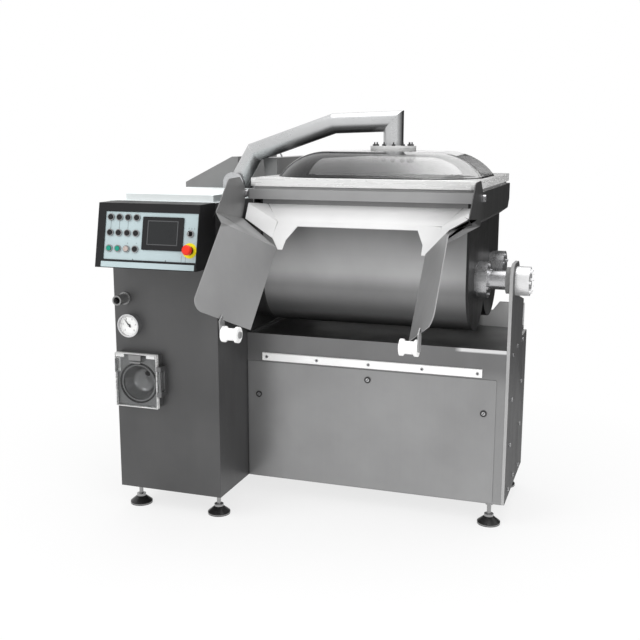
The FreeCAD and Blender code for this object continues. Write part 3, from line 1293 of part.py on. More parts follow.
def lid_seal():
    item = new_body("lid_seal")
    inner = "seal_inset + seal_width"
    pad(item, "XY", "rim_top + seal_gap", "lid_seal_top - rim_top - seal_gap",
        rect("lid_left + seal_inset", "seal_inset - lid_front", "lid_right - seal_inset",
             "lid_rear - seal_inset", "lid_round"),
        rect("lid_left + " + inner, inner + " - lid_front", "lid_right - (%s)" % inner,
             "lid_rear - (%s)" % inner, "lid_round - seal_width + 2"))
    return item


def lid_inner_ring():
    item = new_body("lid_inner_ring")
    pad(item, "XY", DOME_TOP + " - dome_wall - inner_ring_thick", "inner_ring_thick",
        ("arm_x", "arm_y", "disc_radius"), ("arm_x", "arm_y", "dome_hole"),
        *bolt_circles("lid_bolt_radius + lid_bolt_gap"))
    return item


def lid_bolts():
    item = new_body("lid_bolts")
    low = DOME_TOP + " - dome_wall - inner_ring_thick"
    high = DOME_TOP + " + disc_thick"
    pad(item, "XY", low + " - 2 * lid_bolt_head_height",
        "2 * lid_bolt_head_height", *bolt_circles("lid_bolt_head"))
    pad(item, "XY", low + " - 1", "dome_wall + inner_ring_thick + disc_thick + 2",
        *bolt_circles("lid_bolt_radius"))
    pad(item, "XY", high, "lid_bolt_head_height", *bolt_circles("lid_bolt_head"))
    return item


def lid_arm():
    item = new_body("lid_arm")
    path = [("arm_x", DOME_TOP + " + 2"), ("arm_x", "arm_top_z"), ("arm_knee_x", "arm_knee_z"),
            ("arm_elbow_x", "arm_elbow_z"), ("pivot_x", "pivot_z")]
    sweep(item, "XZ", "arm_y", path, "arm_radius", "arm_bore", transition=1)
    pad(item, "XY", DOME_TOP, "disc_thick", ("arm_x", "arm_y", "disc_radius"),
        ("arm_x", "arm_y", "arm_bore"), *bolt_circles("lid_bolt_radius + lid_bolt_gap"))
    pad(item, "XZ", "arm_y - hub_half", "2 * hub_half", ("pivot_x", "pivot_z", "hub_radius"))
    pocket(item, "XZ", "arm_y - hub_half - 1", "2 * hub_half + 2",
           ("pivot_x", "pivot_z", "hinge_pin + hinge_fit"))
    return item


def lid_pivot():
    item = new_body("lid_pivot")
    cheek = [("pivot_x - clevis_half", "cabinet_top"), ("pivot_x + clevis_half", "cabinet_top"),
             ("pivot_x + clevis_half", "pivot_z + clevis_round", "clevis_round"),
             ("pivot_x - clevis_half", "pivot_z + clevis_round", "clevis_round")]
    near = "arm_y - hub_half - clevis_gap - clevis_thick"
    far = "arm_y + hub_half + clevis_gap"
    pad(item, "XZ", near, "clevis_thick", cheek)
    pad(item, "XZ", far, "clevis_thick", cheek)
    pad(item, "XY", "cabinet_top", "clevis_base",
        rect("pivot_x - clevis_half - 16", near + " - 10", "pivot_x + clevis_half + 16",
             far + " + clevis_thick + 3", "6"))
    pad(item, "XZ", near + " - pin_overhang", "2 * (hub_half + clevis_gap + clevis_thick + pin_overhang)",
        ("pivot_x", "pivot_z", "hinge_pin"))
    return item


# --- the whole machine ---

def build_all():
    for make in (base_cabinet, access_panel, panel_locks, side_plate, cover_screws,
                 bumper_strip, levelling_feet, control_cabinet,
                 console_housing, console_panel, button_bezels, touch_screen, gauge_case,
                 gauge_needle, vacuum_port, filter_body, filter_ring, filter_door,
                 roof_hoods, hose_loop, stop_button, key_switch,
                 tank_trough, tank_ends, tank_rim, pivot_bolts, bearing_housings,
                 gear_case, trunnion_cap, trunnion_bearing_left,
                 front_shaft, rear_shaft, tilt_gearbox, mixing_gearmotor, vacuum_pump,
                 discharge_lip, lid_dome, lid_seal, lid_inner_ring, lid_bolts, lid_arm,
                 lid_pivot):
        make()
    for name, x, z in BUTTONS:
        press_button(name, x, z)
    paddle_set("front_paddles", "shaft_y", 0, 1)
    paddle_set("rear_paddles", REAR_Y, val("paddle_pitch / 2"), -1)
    chute_wing("wing_left", -1)
    chute_wing("wing_right", 1)
    roller("roller_left", "0 - ")
    roller("roller_right", "")


def centre_on_floor():
    """Shift every piece so that the zero lies under the middle of the whole machine."""
    box = FreeCAD.BoundBox()
    for item in nodes:
        box.add(item.Shape.optimalBoundingBox(False, False))
    row = len(SIZES) + 1
    for name, value in (("shift_x", box.Center.x), ("shift_y", box.Center.y),
                        ("shift_z", box.ZMin)):
        sheet.set("A%d" % row, name)
        sheet.set("B%d" % row, "%.4f" % value)
        sheet.setAlias("B%d" % row, name)
        row += 1
    doc.recompute()
    for item in nodes:
        start = dict(item.ExpressionEngine)
        for axis in "xyz":
            key = "Placement.Base." + axis
            before = start.get(key) or start.get("." + key) or "0"
            item.setExpression(key, "%s - Sizes.shift_%s" % (before, axis))
    doc.recompute()
    return box


def check_and_write():
    bad = []
    for item in doc.Objects:
        if "Invalid" in item.State or "Error" in item.State:
            bad.append(item.Name)
    for item in nodes:
        if item.Shape.isNull() or not item.Shape.isValid() or not item.Shape.Solids:
            bad.append(item.Label)
    if bad:
        raise RuntimeError("not sound: " + ", ".join(bad))
    os.makedirs("parts", exist_ok=True)
    for item in nodes:
        item.Shape.exportStep("parts/%s.step" % item.Label)


build_all()
doc.recompute()
whole = centre_on_floor()
check_and_write()
print("%d parts, %.0f x %.0f x %.0f mm, middle %.4f %.4f" %
      (len(nodes), whole.XLength, whole.YLength, whole.ZLength, whole.Center.x, whole.Center.y))
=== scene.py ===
import json
import math

import bmesh
import bpy
from bpy.props import FloatProperty, FloatVectorProperty, PointerProperty
from mathutils import Matrix, Vector


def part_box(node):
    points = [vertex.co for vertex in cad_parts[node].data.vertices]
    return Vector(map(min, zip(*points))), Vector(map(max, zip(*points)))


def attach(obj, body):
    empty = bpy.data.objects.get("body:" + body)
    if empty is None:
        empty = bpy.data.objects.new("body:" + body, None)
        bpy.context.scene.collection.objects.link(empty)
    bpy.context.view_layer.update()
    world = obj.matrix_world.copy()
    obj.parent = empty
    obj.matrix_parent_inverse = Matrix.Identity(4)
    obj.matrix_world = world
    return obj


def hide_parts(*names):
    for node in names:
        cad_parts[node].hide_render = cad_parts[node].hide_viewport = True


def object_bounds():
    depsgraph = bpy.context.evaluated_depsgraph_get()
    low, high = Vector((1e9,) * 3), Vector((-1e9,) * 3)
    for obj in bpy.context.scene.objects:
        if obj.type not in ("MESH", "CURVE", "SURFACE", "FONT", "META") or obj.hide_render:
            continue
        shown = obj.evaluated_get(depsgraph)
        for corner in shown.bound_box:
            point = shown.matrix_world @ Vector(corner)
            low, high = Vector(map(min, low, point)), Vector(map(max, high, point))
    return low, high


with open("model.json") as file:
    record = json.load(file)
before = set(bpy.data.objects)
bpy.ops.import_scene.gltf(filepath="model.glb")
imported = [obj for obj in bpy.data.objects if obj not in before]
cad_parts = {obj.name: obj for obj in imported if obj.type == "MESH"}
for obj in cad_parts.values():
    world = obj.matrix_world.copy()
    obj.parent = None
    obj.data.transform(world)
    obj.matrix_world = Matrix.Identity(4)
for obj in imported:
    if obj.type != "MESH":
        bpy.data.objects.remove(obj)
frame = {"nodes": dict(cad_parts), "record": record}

bl_info = {
    "name": "Vacuum meat mixer",
    "version": (1, 0, 0),
    "blender": (4, 5, 0),
    "location": "3D View > Sidebar > Mixer",
    "description": "Finishes and fittings of a twin-shaft vacuum meat mixer",
    "category": "Object",
}

NODES = frame["nodes"]
CAD_LOW, CAD_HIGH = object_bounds()
BODY_OF = {node: body for body, nodes in frame["record"]["behaviour"]["bodies"].items()
           for node in nodes}

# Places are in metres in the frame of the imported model: X along the shafts, Y to the rear,
# Z up, with the zero on the floor under the middle of the machine.
SHIFT = Vector((0.370, 0.0731414, 0.0))
CONSOLE_TILT = math.radians(11.9)
# Turns what was made upright on Z until it faces the front.
TO_FRONT = Matrix.Rotation(math.radians(90), 4, "X")

# In millimetres from the corner of cabinet and base.
LID_AXIS = (573, 320)
ARM_PATH = ((*LID_AXIS, 1583), (*LID_AXIS, 1689), (299, 320, 1680), (-86, 320, 1551),
            (-170, 320, 1412))
LOCKS = ((56, 491), (559, 598), (1059, 497))

# In metres in the console's own frame, whose y = 0 is its face and z = 0 its top edge.
BUTTON_COLUMNS = (-0.391, -0.352, -0.313, -0.274)
BUTTON_ROWS = (-0.0573, -0.1196, -0.1830)
PLATE_MIDDLE = -0.2155
PRINT_DEPTH = 0.00395
SWITCH_COLUMN = -0.034


def place(x, y, z):
    """A point given in millimetres from the corner of cabinet and base, in the model's frame."""
    return Vector((x, y, z)) / 1000 - SHIFT


def on_console(x, y, z):
    """Carries a piece made round its own zero to a spot of the console's frame."""
    console = Matrix.Translation(place(0, -444, 1361)) @ Matrix.Rotation(-CONSOLE_TILT, 4, "X")
    return console @ Matrix.Translation((x, y, z))


# Shader groups

def new_group(name, inputs, outputs):
    group = bpy.data.node_groups.new(name, "ShaderNodeTree")
    for label, kind, default in inputs:
        socket = group.interface.new_socket(label, in_out="INPUT", socket_type=kind)
        socket.default_value = default
    for label, kind in outputs:
        group.interface.new_socket(label, in_out="OUTPUT", socket_type=kind)
    return group, group.nodes.new("NodeGroupInput"), group.nodes.new("NodeGroupOutput")


def feed(tree, socket, value):
    """Sets a socket to a number, or links another socket into it."""
    if isinstance(value, (int, float)):
        socket.default_value = value
    else:
        tree.links.new(value, socket)


def maths(tree, operation, first, second):
    node = tree.nodes.new("ShaderNodeMath")
    node.operation = operation
    feed(tree, node.inputs[0], first)
    feed(tree, node.inputs[1], second)
    return node.outputs[0]


def spread(tree, value, low, high, to_low, to_high):
    """Moves a value's range from one pair of limits to another."""
    node = tree.nodes.new("ShaderNodeMapRange")
    for label, number in (("Value", value), ("From Min", low), ("From Max", high),
                          ("To Min", to_low), ("To Max", to_high)):
        feed(tree, node.inputs[label], number)
    return node.outputs[0]


def noise(tree, vector, scale, detail=2.0, roughness=0.5):
    node = tree.nodes.new("ShaderNodeTexNoise")
    node.inputs["Scale"].default_value = scale
    node.inputs["Detail"].default_value = detail
    node.inputs["Roughness"].default_value = roughness
    tree.links.new(vector, node.inputs["Vector"])
    return node.outputs["Fac"]


def stretched(tree, vector, scale):
    node = tree.nodes.new("ShaderNodeMapping")
    node.inputs["Scale"].default_value = scale
    tree.links.new(vector, node.inputs["Vector"])
    return node.outputs["Vector"]


def grain_group(name, scale):
    """Fine scratches along the direction in which the scale is small."""
    group, start, end = new_group(name, [("Vector", "NodeSocketVector", (0, 0, 0))],
                                  [("Line", "NodeSocketFloat"), ("Band", "NodeSocketFloat")])
    vector = start.outputs["Vector"]
    band_scale = [part * 0.18 for part in scale]
    fine = noise(group, stretched(group, vector, scale), 1.0, 3.0, 0.65)
    wide = noise(group, stretched(group, vector, band_scale), 1.0, 2.0)
    group.links.new(fine, end.inputs["Line"])
    group.links.new(wide, end.inputs["Band"])
    return group


def handling_group():
    """Soft clouds and small smears that cleaning and hands leave on bare metal."""
    group, start, end = new_group("Handling marks", [("Vector", "NodeSocketVector", (0, 0, 0))],
                                  [("Cloud", "NodeSocketFloat"), ("Smear", "NodeSocketFloat")])
    vector = start.outputs["Vector"]
    cloud = noise(group, vector, 2.3, 4.0, 0.55)
    smear = noise(group, stretched(group, vector, (9, 9, 3)), 1.0, 5.0, 0.6)
    group.links.new(spread(group, cloud, 0.3, 0.7, 0.0, 1.0), end.inputs["Cloud"])
    group.links.new(spread(group, smear, 0.45, 0.75, 0.0, 1.0), end.inputs["Smear"])
    return group


GROUPS = {}


def build_groups():
    GROUPS["along_x"] = grain_group("Grain along X", (3.0, 420.0, 420.0))
    GROUPS["along_z"] = grain_group("Grain along Z", (420.0, 420.0, 3.0))
    GROUPS["along_y"] = grain_group("Grain along Y", (420.0, 3.0, 420.0))
    GROUPS["handling"] = handling_group()


def use_group(tree, key, vector):
    node = tree.nodes.new("ShaderNodeGroup")
    node.node_tree = GROUPS[key]
    tree.links.new(vector, node.inputs["Vector"])
    return node


def new_material(name):
    material = bpy.data.materials.new(name)
    material.use_nodes = True
    tree = material.node_tree
    shader = tree.nodes["Principled BSDF"]
    coordinates = tree.nodes.new("ShaderNodeTexCoord").outputs["Object"]
    return material, tree, shader, coordinates


def tinted(tree, value, first, second, mode="MIX"):
    """Mixes two colours, each a socket or three numbers, by a value from 0 to 1."""
    inputs, result = (6, 7), 2
    node = tree.nodes.new("ShaderNodeMix")
    node.data_type = "RGBA"
    node.blend_type = mode
    feed(tree, node.inputs["Factor"], value)
    for index, colour in zip(inputs, (first, second)):
        if isinstance(colour, bpy.types.NodeSocket):
            tree.links.new(colour, node.inputs[index])
        else:
            node.inputs[index].default_value = (*colour, 1)
    return node.outputs[result]


def shade(colour, share):
    """A colour made darker or lighter by a share."""
    return [min(part * share, 1.0) for part in colour]


def roughened(tree, shader, value, low, high):
    """Lets a noise, which lies mostly between 0.3 and 0.7, move the roughness."""
    tree.links.new(spread(tree, value, 0.3, 0.7, low, high), shader.inputs["Roughness"])


def bumped(tree, shader, height, strength, distance):
    node = tree.nodes.new("ShaderNodeBump")
    node.inputs["Strength"].default_value = strength
    node.inputs["Distance"].default_value = distance
    tree.links.new(height, node.inputs["Height"])
    tree.links.new(node.outputs["Normal"], shader.inputs["Normal"])


def ground_steel(name, colour, roughness, grain, metallic=0.72, depth=0.10, lines_seen=0.12):
    """Ground stainless sheet: faint directional scratches over soft clouds."""
    material, tree, shader, vector = new_material(name)
    lines = use_group(tree, grain, vector)
    marks = use_group(tree, "handling", vector)
    mix = maths(tree, "ADD", maths(tree, "MULTIPLY", lines.outputs["Band"], lines_seen),
                maths(tree, "MULTIPLY", marks.outputs["Cloud"], 1.0 - lines_seen))
    tree.links.new(tinted(tree, mix, shade(colour, 0.86), shade(colour, 1.12)),
                   shader.inputs["Base Color"])
    rough = spread(tree, maths(tree, "ADD", lines.outputs["Line"], marks.outputs["Smear"]),
                   0.2, 1.6, roughness - 0.05, roughness + 0.10)
    tree.links.new(rough, shader.inputs["Roughness"])
    shader.inputs["Metallic"].default_value = metallic
    bumped(tree, shader, lines.outputs["Line"], depth, 0.0004)
    return material


def height_mask(tree, vector, low, high, axis="Z"):
    """0 below one height of the piece and 1 above another, along one of its axes."""
    split = tree.nodes.new("ShaderNodeSeparateXYZ")
    tree.links.new(vector, split.inputs[0])
    return spread(tree, split.outputs[axis], low, high, 0.0, 1.0)


def painted_shading_patch(material, mask_of, colour):
    """Gives part of a sheet another colour, which is painted highlight on some sheets and
    painted shade on others; mask_of makes the mask from a node tree.
    """
    tree = material.node_tree
    base = tree.nodes["Principled BSDF"].inputs["Base Color"]
    plain = base.links[0].from_socket
    mask = mask_of(tree, tree.nodes["Texture Coordinate"])
    tree.links.new(tinted(tree, mask, plain, colour), base)
    return material


def painted_band_shading(name, lower, upper, low, high, roughness, grain, metallic=0.72):
    """Ground sheet whose colour changes past a height, as painted shading across a fold: painted
    highlight above it on the cabinet, painted shade above it on the chutes.
    """
    return painted_shading_patch(ground_steel(name, lower, roughness, grain, metallic),
                      raised(low, high), upper)


def painted_height_shading(name, colour, stops, roughness, grain, metallic=0.72):
    """Ground sheet that darkens and lightens with height, as painted shade and painted
    highlight.
    """
    material = ground_steel(name, colour, roughness, grain, metallic)
    tree = material.node_tree
    base = tree.nodes["Principled BSDF"].inputs["Base Color"]
    vector = tree.nodes["Texture Coordinate"].outputs["Object"]
    plain = base.links[0].from_socket
    low, high = stops[0][0], stops[-1][0]
    ramp = tree.nodes.new("ShaderNodeValToRGB")
    ramp.color_ramp.interpolation = "EASE"
    tree.links.new(height_mask(tree, vector, low, high), ramp.inputs[0])
    for _ in stops[2:]:
        ramp.color_ramp.elements.new(0.5)
    for element, (height, share) in zip(ramp.color_ramp.elements, stops):
        element.position = (height - low) / (high - low)
        element.color = (share, share, share, 1)
    tree.links.new(tinted(tree, 1.0, plain, ramp.outputs["Color"], "MULTIPLY"), base)
    return material


def facing(axis, low, high):
    """A mask that is 1 where the piece's own surface faces along an axis."""
    def mask(tree, coordinates):
        split = tree.nodes.new("ShaderNodeSeparateXYZ")
        tree.links.new(coordinates.outputs["Normal"], split.inputs[0])
        return spread(tree, split.outputs[axis], low, high, 0.0, 1.0)
    return mask


def splash_highlight(tree, coordinates):
    """1 on the front of the rear splash plate beside the right end of the tank, where a painted
    highlight goes.
    """
    vector = coordinates.outputs["Object"]
    corner = maths(tree, "MULTIPLY", height_mask(tree, vector, 0.56, 0.59, "X"),
                   height_mask(tree, vector, 0.750, 0.756))
    return maths(tree, "MULTIPLY", corner, facing("Y", -0.4, -0.6)(tree, coordinates))


def raised(low, high):
    """A mask that is 1 above a height of the piece."""
    return lambda tree, coordinates: height_mask(tree, coordinates.outputs["Object"], low, high)


def levelling_foot(name):
    """Black rubber-coated disc with a painted highlight on its rim under a steel stem."""
    material, tree, shader, vector = new_material(name)
    stem = height_mask(tree, vector, 0.0335, 0.0345)
    # The band from 3.4 to 6.2 mm is a painted highlight on the disc's rim; bare joins it to the
    # steel stem for colour and metallic.
    rim = maths(tree, "MULTIPLY", height_mask(tree, vector, 0.0030, 0.0034),
                height_mask(tree, vector, 0.0066, 0.0062))
    bare = maths(tree, "MAXIMUM", stem, rim)
    tree.links.new(tinted(tree, bare, (0.012, 0.012, 0.012), (0.34, 0.34, 0.34)),
                   shader.inputs["Base Color"])
    tree.links.new(spread(tree, bare, 0.0, 1.0, 0.0, 0.85), shader.inputs["Metallic"])
    roughened(tree, shader, noise(tree, vector, 40.0, 3.0), 0.26, 0.38)
    return material


def plastic(name, colour, roughness, grain_scale=900.0, depth=0.1, coat=0.0):
    """Moulded plastic with a fine skin and slight colour change."""
    material, tree, shader, vector = new_material(name)
    skin = noise(tree, vector, grain_scale, 2.0)
    cloud = noise(tree, vector, 14.0, 3.0)
    tree.links.new(tinted(tree, cloud, shade(colour, 0.88), shade(colour, 1.08)),
                   shader.inputs["Base Color"])
    roughened(tree, shader, cloud, roughness - 0.04, roughness + 0.06)
    shader.inputs["Coat Weight"].default_value = coat
    bumped(tree, shader, skin, depth, 0.0002)
    return material


def clear_acrylic(name, tint, roughness, right_tint=None, index=1.49):
    """Thick clear acrylic with faint haze; a second tint, if given, turns it from dark to pale
    towards +X as painted shade and light.
    """
    material, tree, shader, vector = new_material(name)
    roughened(tree, shader, noise(tree, vector, 6.0, 3.0), roughness, roughness + 0.05)
    shader.inputs["Base Color"].default_value = (*tint, 1)
    if right_tint:
        across = height_mask(tree, vector, 0.10, 0.42, "X")
        tree.links.new(tinted(tree, across, tint, right_tint), shader.inputs["Base Color"])
    shader.inputs["Transmission Weight"].default_value = 1.0
    shader.inputs["IOR"].default_value = index
    return material


def frosted(name, tint, roughness):
    """Sawn and flame-polished acrylic: pale, half clear, with a few streaks."""
    material, tree, shader, vector = new_material(name)
    streak = noise(tree, stretched(tree, vector, (5, 5, 60)), 1.0, 4.0, 0.6)
    mix = spread(tree, streak, 0.35, 0.6, 0.0, 1.0)
    tree.links.new(tinted(tree, mix, shade(tint, 0.94), tint), shader.inputs["Base Color"])
    roughened(tree, shader, streak, roughness, roughness + 0.12)
    shader.inputs["Transmission Weight"].default_value = 0.25
    shader.inputs["IOR"].default_value = 1.49
    return material


def enamel(name, colour, roughness):
    """Painted casting with a light orange-peel skin."""
    material, tree, shader, vector = new_material(name)
    peel = noise(tree, vector, 260.0, 2.0)
    dust = noise(tree, vector, 9.0, 4.0)
    tree.links.new(tinted(tree, dust, shade(colour, 0.8), colour), shader.inputs["Base Color"])
    roughened(tree, shader, dust, roughness, roughness + 0.12)
    bumped(tree, shader, peel, 0.2, 0.0004)
    return material


MATERIALS = {}
# Specular levels that are below the usual 0.5.
SHEEN = {
    "side": 0.05, "housing": 0.20, "display": 0.12, "border": 0.20, "black": 0.25,
    "rubber": 0.20, "red": 0.25, "yellow": 0.25, "green": 0.30, "tank_end": 0.20,
    "dial": 0.20,
}


def build_materials(colours):
    sheet, cabinet, pipe = colours.sheet_steel, colours.cabinet_steel, colours.pipe_steel
    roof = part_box("control_cabinet")[1][2]
    make = MATERIALS
    make["sheet_x"] = ground_steel("Ground sheet", sheet, 0.34, "along_z")
    # Painted shade darkens the base from 0.6 m up, under the tank, and a painted highlight
    # lightens the splash plate beside the tank's right end.
    make["base"] = painted_shading_patch(
        painted_height_shading("Base sheet", sheet, ((0.0, 0.92), (0.60, 0.92), (0.70, 0.62), (0.90, 0.62)),
               0.34, "along_z"), splash_highlight, (0.72, 0.72, 0.72))
    make["cup"] = ground_steel("Filter cup", (0.17, 0.17, 0.172), 0.36, "along_x")
    # Painted shade darkens the trough towards its bottom, and a painted highlight brightens a
    # band round 1.08 m.
    make["tank"] = painted_height_shading("Tank sheet", colours.tank_steel,
                          ((0.84, 0.07), (0.90, 0.16), (1.0, 0.50), (1.08, 1.0), (1.25, 0.62)),
                          0.42, "along_x", 0.55)
    # The tank's ends and the gear case are coloured near black as painted shade.
    make["tank_end"] = ground_steel("Tank end sheet", (0.022, 0.022, 0.022), 0.44, "along_y",
                                    0.4)
    # Painted shade darkens the rim's faces that look towards +X.
    make["rim"] = painted_shading_patch(
        ground_steel("Rim sheet", colours.rim_steel, 0.38, "along_x", 0.6),
        facing("X", 0.4, 0.6), (0.050, 0.050, 0.050))
    # A painted highlight lightens the top band of the cabinet, within about 34 mm of its roof.
    make["cabinet"] = painted_band_shading("Cabinet sheet", cabinet, (0.90, 0.95, 0.95), roof - 0.034,
                               roof - 0.030, 0.44, "along_z")
    make["hood"] = ground_steel("Hood sheet", (0.27, 0.27, 0.27), 0.40, "along_z")
    # The stainless console casing is coloured near black as painted reflection of dark
    # surroundings.
    make["housing"] = ground_steel("Console casing", (0.020, 0.020, 0.021), 0.46, "along_x", 0.3)
    # Painted shade darkens the side plate's faces that look towards +X.
    make["side"] = painted_shading_patch(
        ground_steel("Side plate sheet", (0.40, 0.40, 0.40), 0.50, "along_z", 0.0),
        facing("X", 0.4, 0.6), (0.070, 0.070, 0.071))
    # Painted shade darkens the chutes above 1.285 m, and the right chute more.
    make["wing"] = painted_band_shading("Chute sheet", colours.wing_steel, (0.20, 0.20, 0.20), 1.285,
                            1.292, 0.42, "along_z", 0.55)
    make["wing_far"] = painted_band_shading("Right chute sheet", colours.wing_steel, (0.06, 0.06, 0.06),
                                1.285, 1.292, 0.42, "along_z", 0.55)
    # The lip's near-white colour and its brighter top edge are painted highlight.
    lip_low, lip_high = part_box("discharge_lip")[0][2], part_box("discharge_lip")[1][2]
    make["lip"] = painted_height_shading("Lip sheet", colours.lip_steel,
                         ((lip_low, 0.76), (lip_high - 0.10, 0.78), (lip_high - 0.03, 0.96),
                          (lip_high, 1.0)), 0.50, "along_x", 0.10)
    # Painted shade darkens the tube's underside and its faces that look towards +X.
    make["pipe"] = painted_shading_patch(painted_shading_patch(
        ground_steel("Fine ground tube", pipe, 0.30, "along_x", 0.78),
        facing("Z", -0.1, -0.9), (0.07, 0.07, 0.071)),
        facing("X", 0.55, 0.95), (0.07, 0.07, 0.071))
    make["bright"] = ground_steel("Turned bright steel", (0.52, 0.52, 0.53), 0.24, "along_x",
                                  0.9)
    make["cap"] = ground_steel("Turned cap", (0.82, 0.82, 0.825), 0.30, "along_x", 0.75)
    make["dark_bolt"] = ground_steel("Dark bolt", (0.055, 0.055, 0.055), 0.30, "along_x", 0.8)
    make["chrome"] = ground_steel("Chrome", (0.62, 0.62, 0.63), 0.12, "along_x", 1.0, 0.02)
    make["panel"] = ground_steel("Console plate", colours.console_plate, 0.46, "along_x", 0.12)
    make["black"] = plastic("Black plastic", (0.012, 0.012, 0.013), 0.34)
    make["white"] = plastic("White polyethylene", (0.97, 0.97, 0.96), 0.32)
    make["red"] = plastic("Red plastic", colours.stop_red, 0.28)
    make["green"] = plastic("Green lens", (0.01, 0.27, 0.19), 0.20)
    make["lens"] = plastic("Clear lens", (0.46, 0.38, 0.35), 0.18, coat=0.5)
    make["yellow"] = plastic("Yellow legend", colours.stop_yellow, 0.35)
    make["rubber"] = plastic("Black rubber", (0.012, 0.012, 0.012), 0.55, 500.0, 0.3)
    make["seal"] = plastic("Pale seal", (0.30, 0.30, 0.30), 0.50, 500.0, 0.2)
    make["bezel"] = ground_steel("Bezel", (0.35, 0.35, 0.355), 0.16, "along_x", 1.0, 0.02)
    make["acrylic"] = clear_acrylic("Clear acrylic", (0.97, 0.98, 0.98), 0.0, index=1.28)
    # The dome's tint goes from dark to pale towards +X as painted shade and light.
    make["dome"] = clear_acrylic("Dome acrylic", (0.13, 0.13, 0.133), 0.01,
                                 (0.80, 0.80, 0.80))
    make["flange"] = frosted("Frosted acrylic rim", (0.86, 0.86, 0.855), 0.22)
    make["enamel"] = enamel("Grey-blue enamel", (0.09, 0.13, 0.18), 0.35)
    make["glass"] = clear_acrylic("Gauge glass", (1.0, 1.0, 1.0), 0.0, index=1.12)
    make["dial"] = plastic("Dial face", (0.97, 0.97, 0.95), 0.45)
    # Printed ink, also used for painted shade in the sockets and slots of screws and locks.
    make["ink_and_painted_shade"] = plastic("Printed ink", (0.02, 0.02, 0.02), 0.5)
    make["display"] = plastic("Display", (0.026, 0.027, 0.028), 0.30)
    make["border"] = plastic("Display border", (0.085, 0.087, 0.090), 0.35)
    make["foot"] = levelling_foot("Levelling foot")
    for key, level in SHEEN.items():
        shader = make[key].node_tree.nodes["Principled BSDF"]
        shader.inputs["Specular IOR Level"].default_value = level


NODE_FINISH = {
    "base_cabinet": "base", "access_panel": "sheet_x", "panel_locks": "dark_bolt",
    "side_plate": "side", "cover_screws": "bright", "bumper_strip": "white",
    "levelling_feet": "foot", "control_cabinet": "cabinet", "console_housing": "housing",
    "console_panel": "panel", "button_bezels": "bezel", "touch_screen": "black",
    "gauge_case": "chrome", "gauge_needle": "ink_and_painted_shade", "vacuum_port": "hood",
    "filter_body": "cup", "filter_ring": "rubber", "filter_door": "acrylic",
    "roof_hoods": "hood", "hose_loop": "chrome", "lid_pivot": "bright",
    "trunnion_cap": "cap", "trunnion_bearing_left": "cap",
    "mixing_gearmotor": "enamel", "tilt_gearbox": "enamel", "vacuum_pump": "enamel",
    "lid_arm": "pipe", "lid_inner_ring": "black", "lid_dome": "dome",
    "lid_seal": "seal", "lid_bolts": "dark_bolt", "tank_trough": "tank",
    "tank_ends": "tank_end", "tank_rim": "rim", "discharge_lip": "lip",
    "pivot_bolts": "bright", "bearing_housings": "bright", "gear_case": "tank_end",
    "front_shaft": "bright", "rear_shaft": "bright", "front_paddles": "sheet_x",
    "rear_paddles": "sheet_x", "wing_left": "wing", "wing_right": "wing_far",
    "roller_left": "white", "roller_right": "white", "stop_button": "red",
    "key_switch": "black", "button_ca": "green", "button_cb": "green", "button_cc": "lens",
}
# Folded sheets whose edges are rounded in a copy, with the radius of the edge.
SOFT_EDGES = {
    "base_cabinet": 0.0012, "access_panel": 0.0006, "side_plate": 0.0010,
    "control_cabinet": 0.0014, "console_housing": 0.0010, "roof_hoods": 0.0010,
    "tank_rim": 0.0010, "discharge_lip": 0.0008, "wing_left": 0.0008, "wing_right": 0.0008,
    "bumper_strip": 0.0010, "filter_door": 0.0010,
}


def finish_node(name, key):
    mesh = NODES[name].data
    mesh.materials.clear()
    mesh.materials.append(MATERIALS[key])


# Mesh helpers

def finished(name, work, key, body, smooth=None):
    """A new object from a bmesh, with its material, riding on a body of the machine."""
    bmesh.ops.recalc_face_normals(work, faces=work.faces)
    mesh = bpy.data.meshes.new(name)
    work.to_mesh(mesh)
    work.free()
    mesh.materials.append(MATERIALS[key])
    if smooth is not None:
        mesh.shade_smooth()
        mesh.set_sharp_from_angle(angle=math.radians(smooth))
    item = bpy.data.objects.new(name, mesh)
    bpy.context.scene.collection.objects.link(item)
    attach(item, body)
    return item


def turned(profile, segments=96):
    """A closed profile of (radius, height) points spun round Z."""
    work = bmesh.new()
    points = [work.verts.new((radius, 0, height)) for radius, height in profile]
    edges = [work.edges.new((points[i], points[(i + 1) % len(points)]))
             for i in range(len(points))]
    bmesh.ops.spin(work, geom=points + edges, cent=(0, 0, 0), axis=(0, 0, 1),
                   angle=math.tau, steps=segments, use_merge=True)
    bmesh.ops.remove_doubles(work, verts=work.verts, dist=1e-6)
    return work


def moved(work, matrix):
    bmesh.ops.transform(work, matrix=matrix, verts=work.verts)
    return work


def join_in(work, part):
    """Adds a bmesh to another one and frees it."""
    mesh = bpy.data.meshes.new("part")
    part.to_mesh(mesh)
    part.free()
    work.from_mesh(mesh)
    bpy.data.meshes.remove(mesh)


def merged_copy(node):
    """A welded copy of a node's mesh, with flat faces joined."""
    work = bmesh.new()
    work.from_mesh(NODES[node].data)
    bmesh.ops.remove_doubles(work, verts=work.verts, dist=1e-5)
    bmesh.ops.dissolve_limit(work, angle_limit=math.radians(0.5), verts=work.verts,
                             edges=work.edges)
    return work


def soft_edged(node, radius):
    """The node's own shape with its sharp edges rounded, in its place."""
    item = finished(node + "_sheet", merged_copy(node), NODE_FINISH[node], BODY_OF[node],
                    smooth=30)
    edge = item.modifiers.new("Edges", "BEVEL")
    edge.width = radius
    edge.segments = 2
    edge.limit_method = "ANGLE"
    edge.angle_limit = math.radians(40)
    edge.use_clamp_overlap = False
    edge.harden_normals = True
    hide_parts(node)
    return item


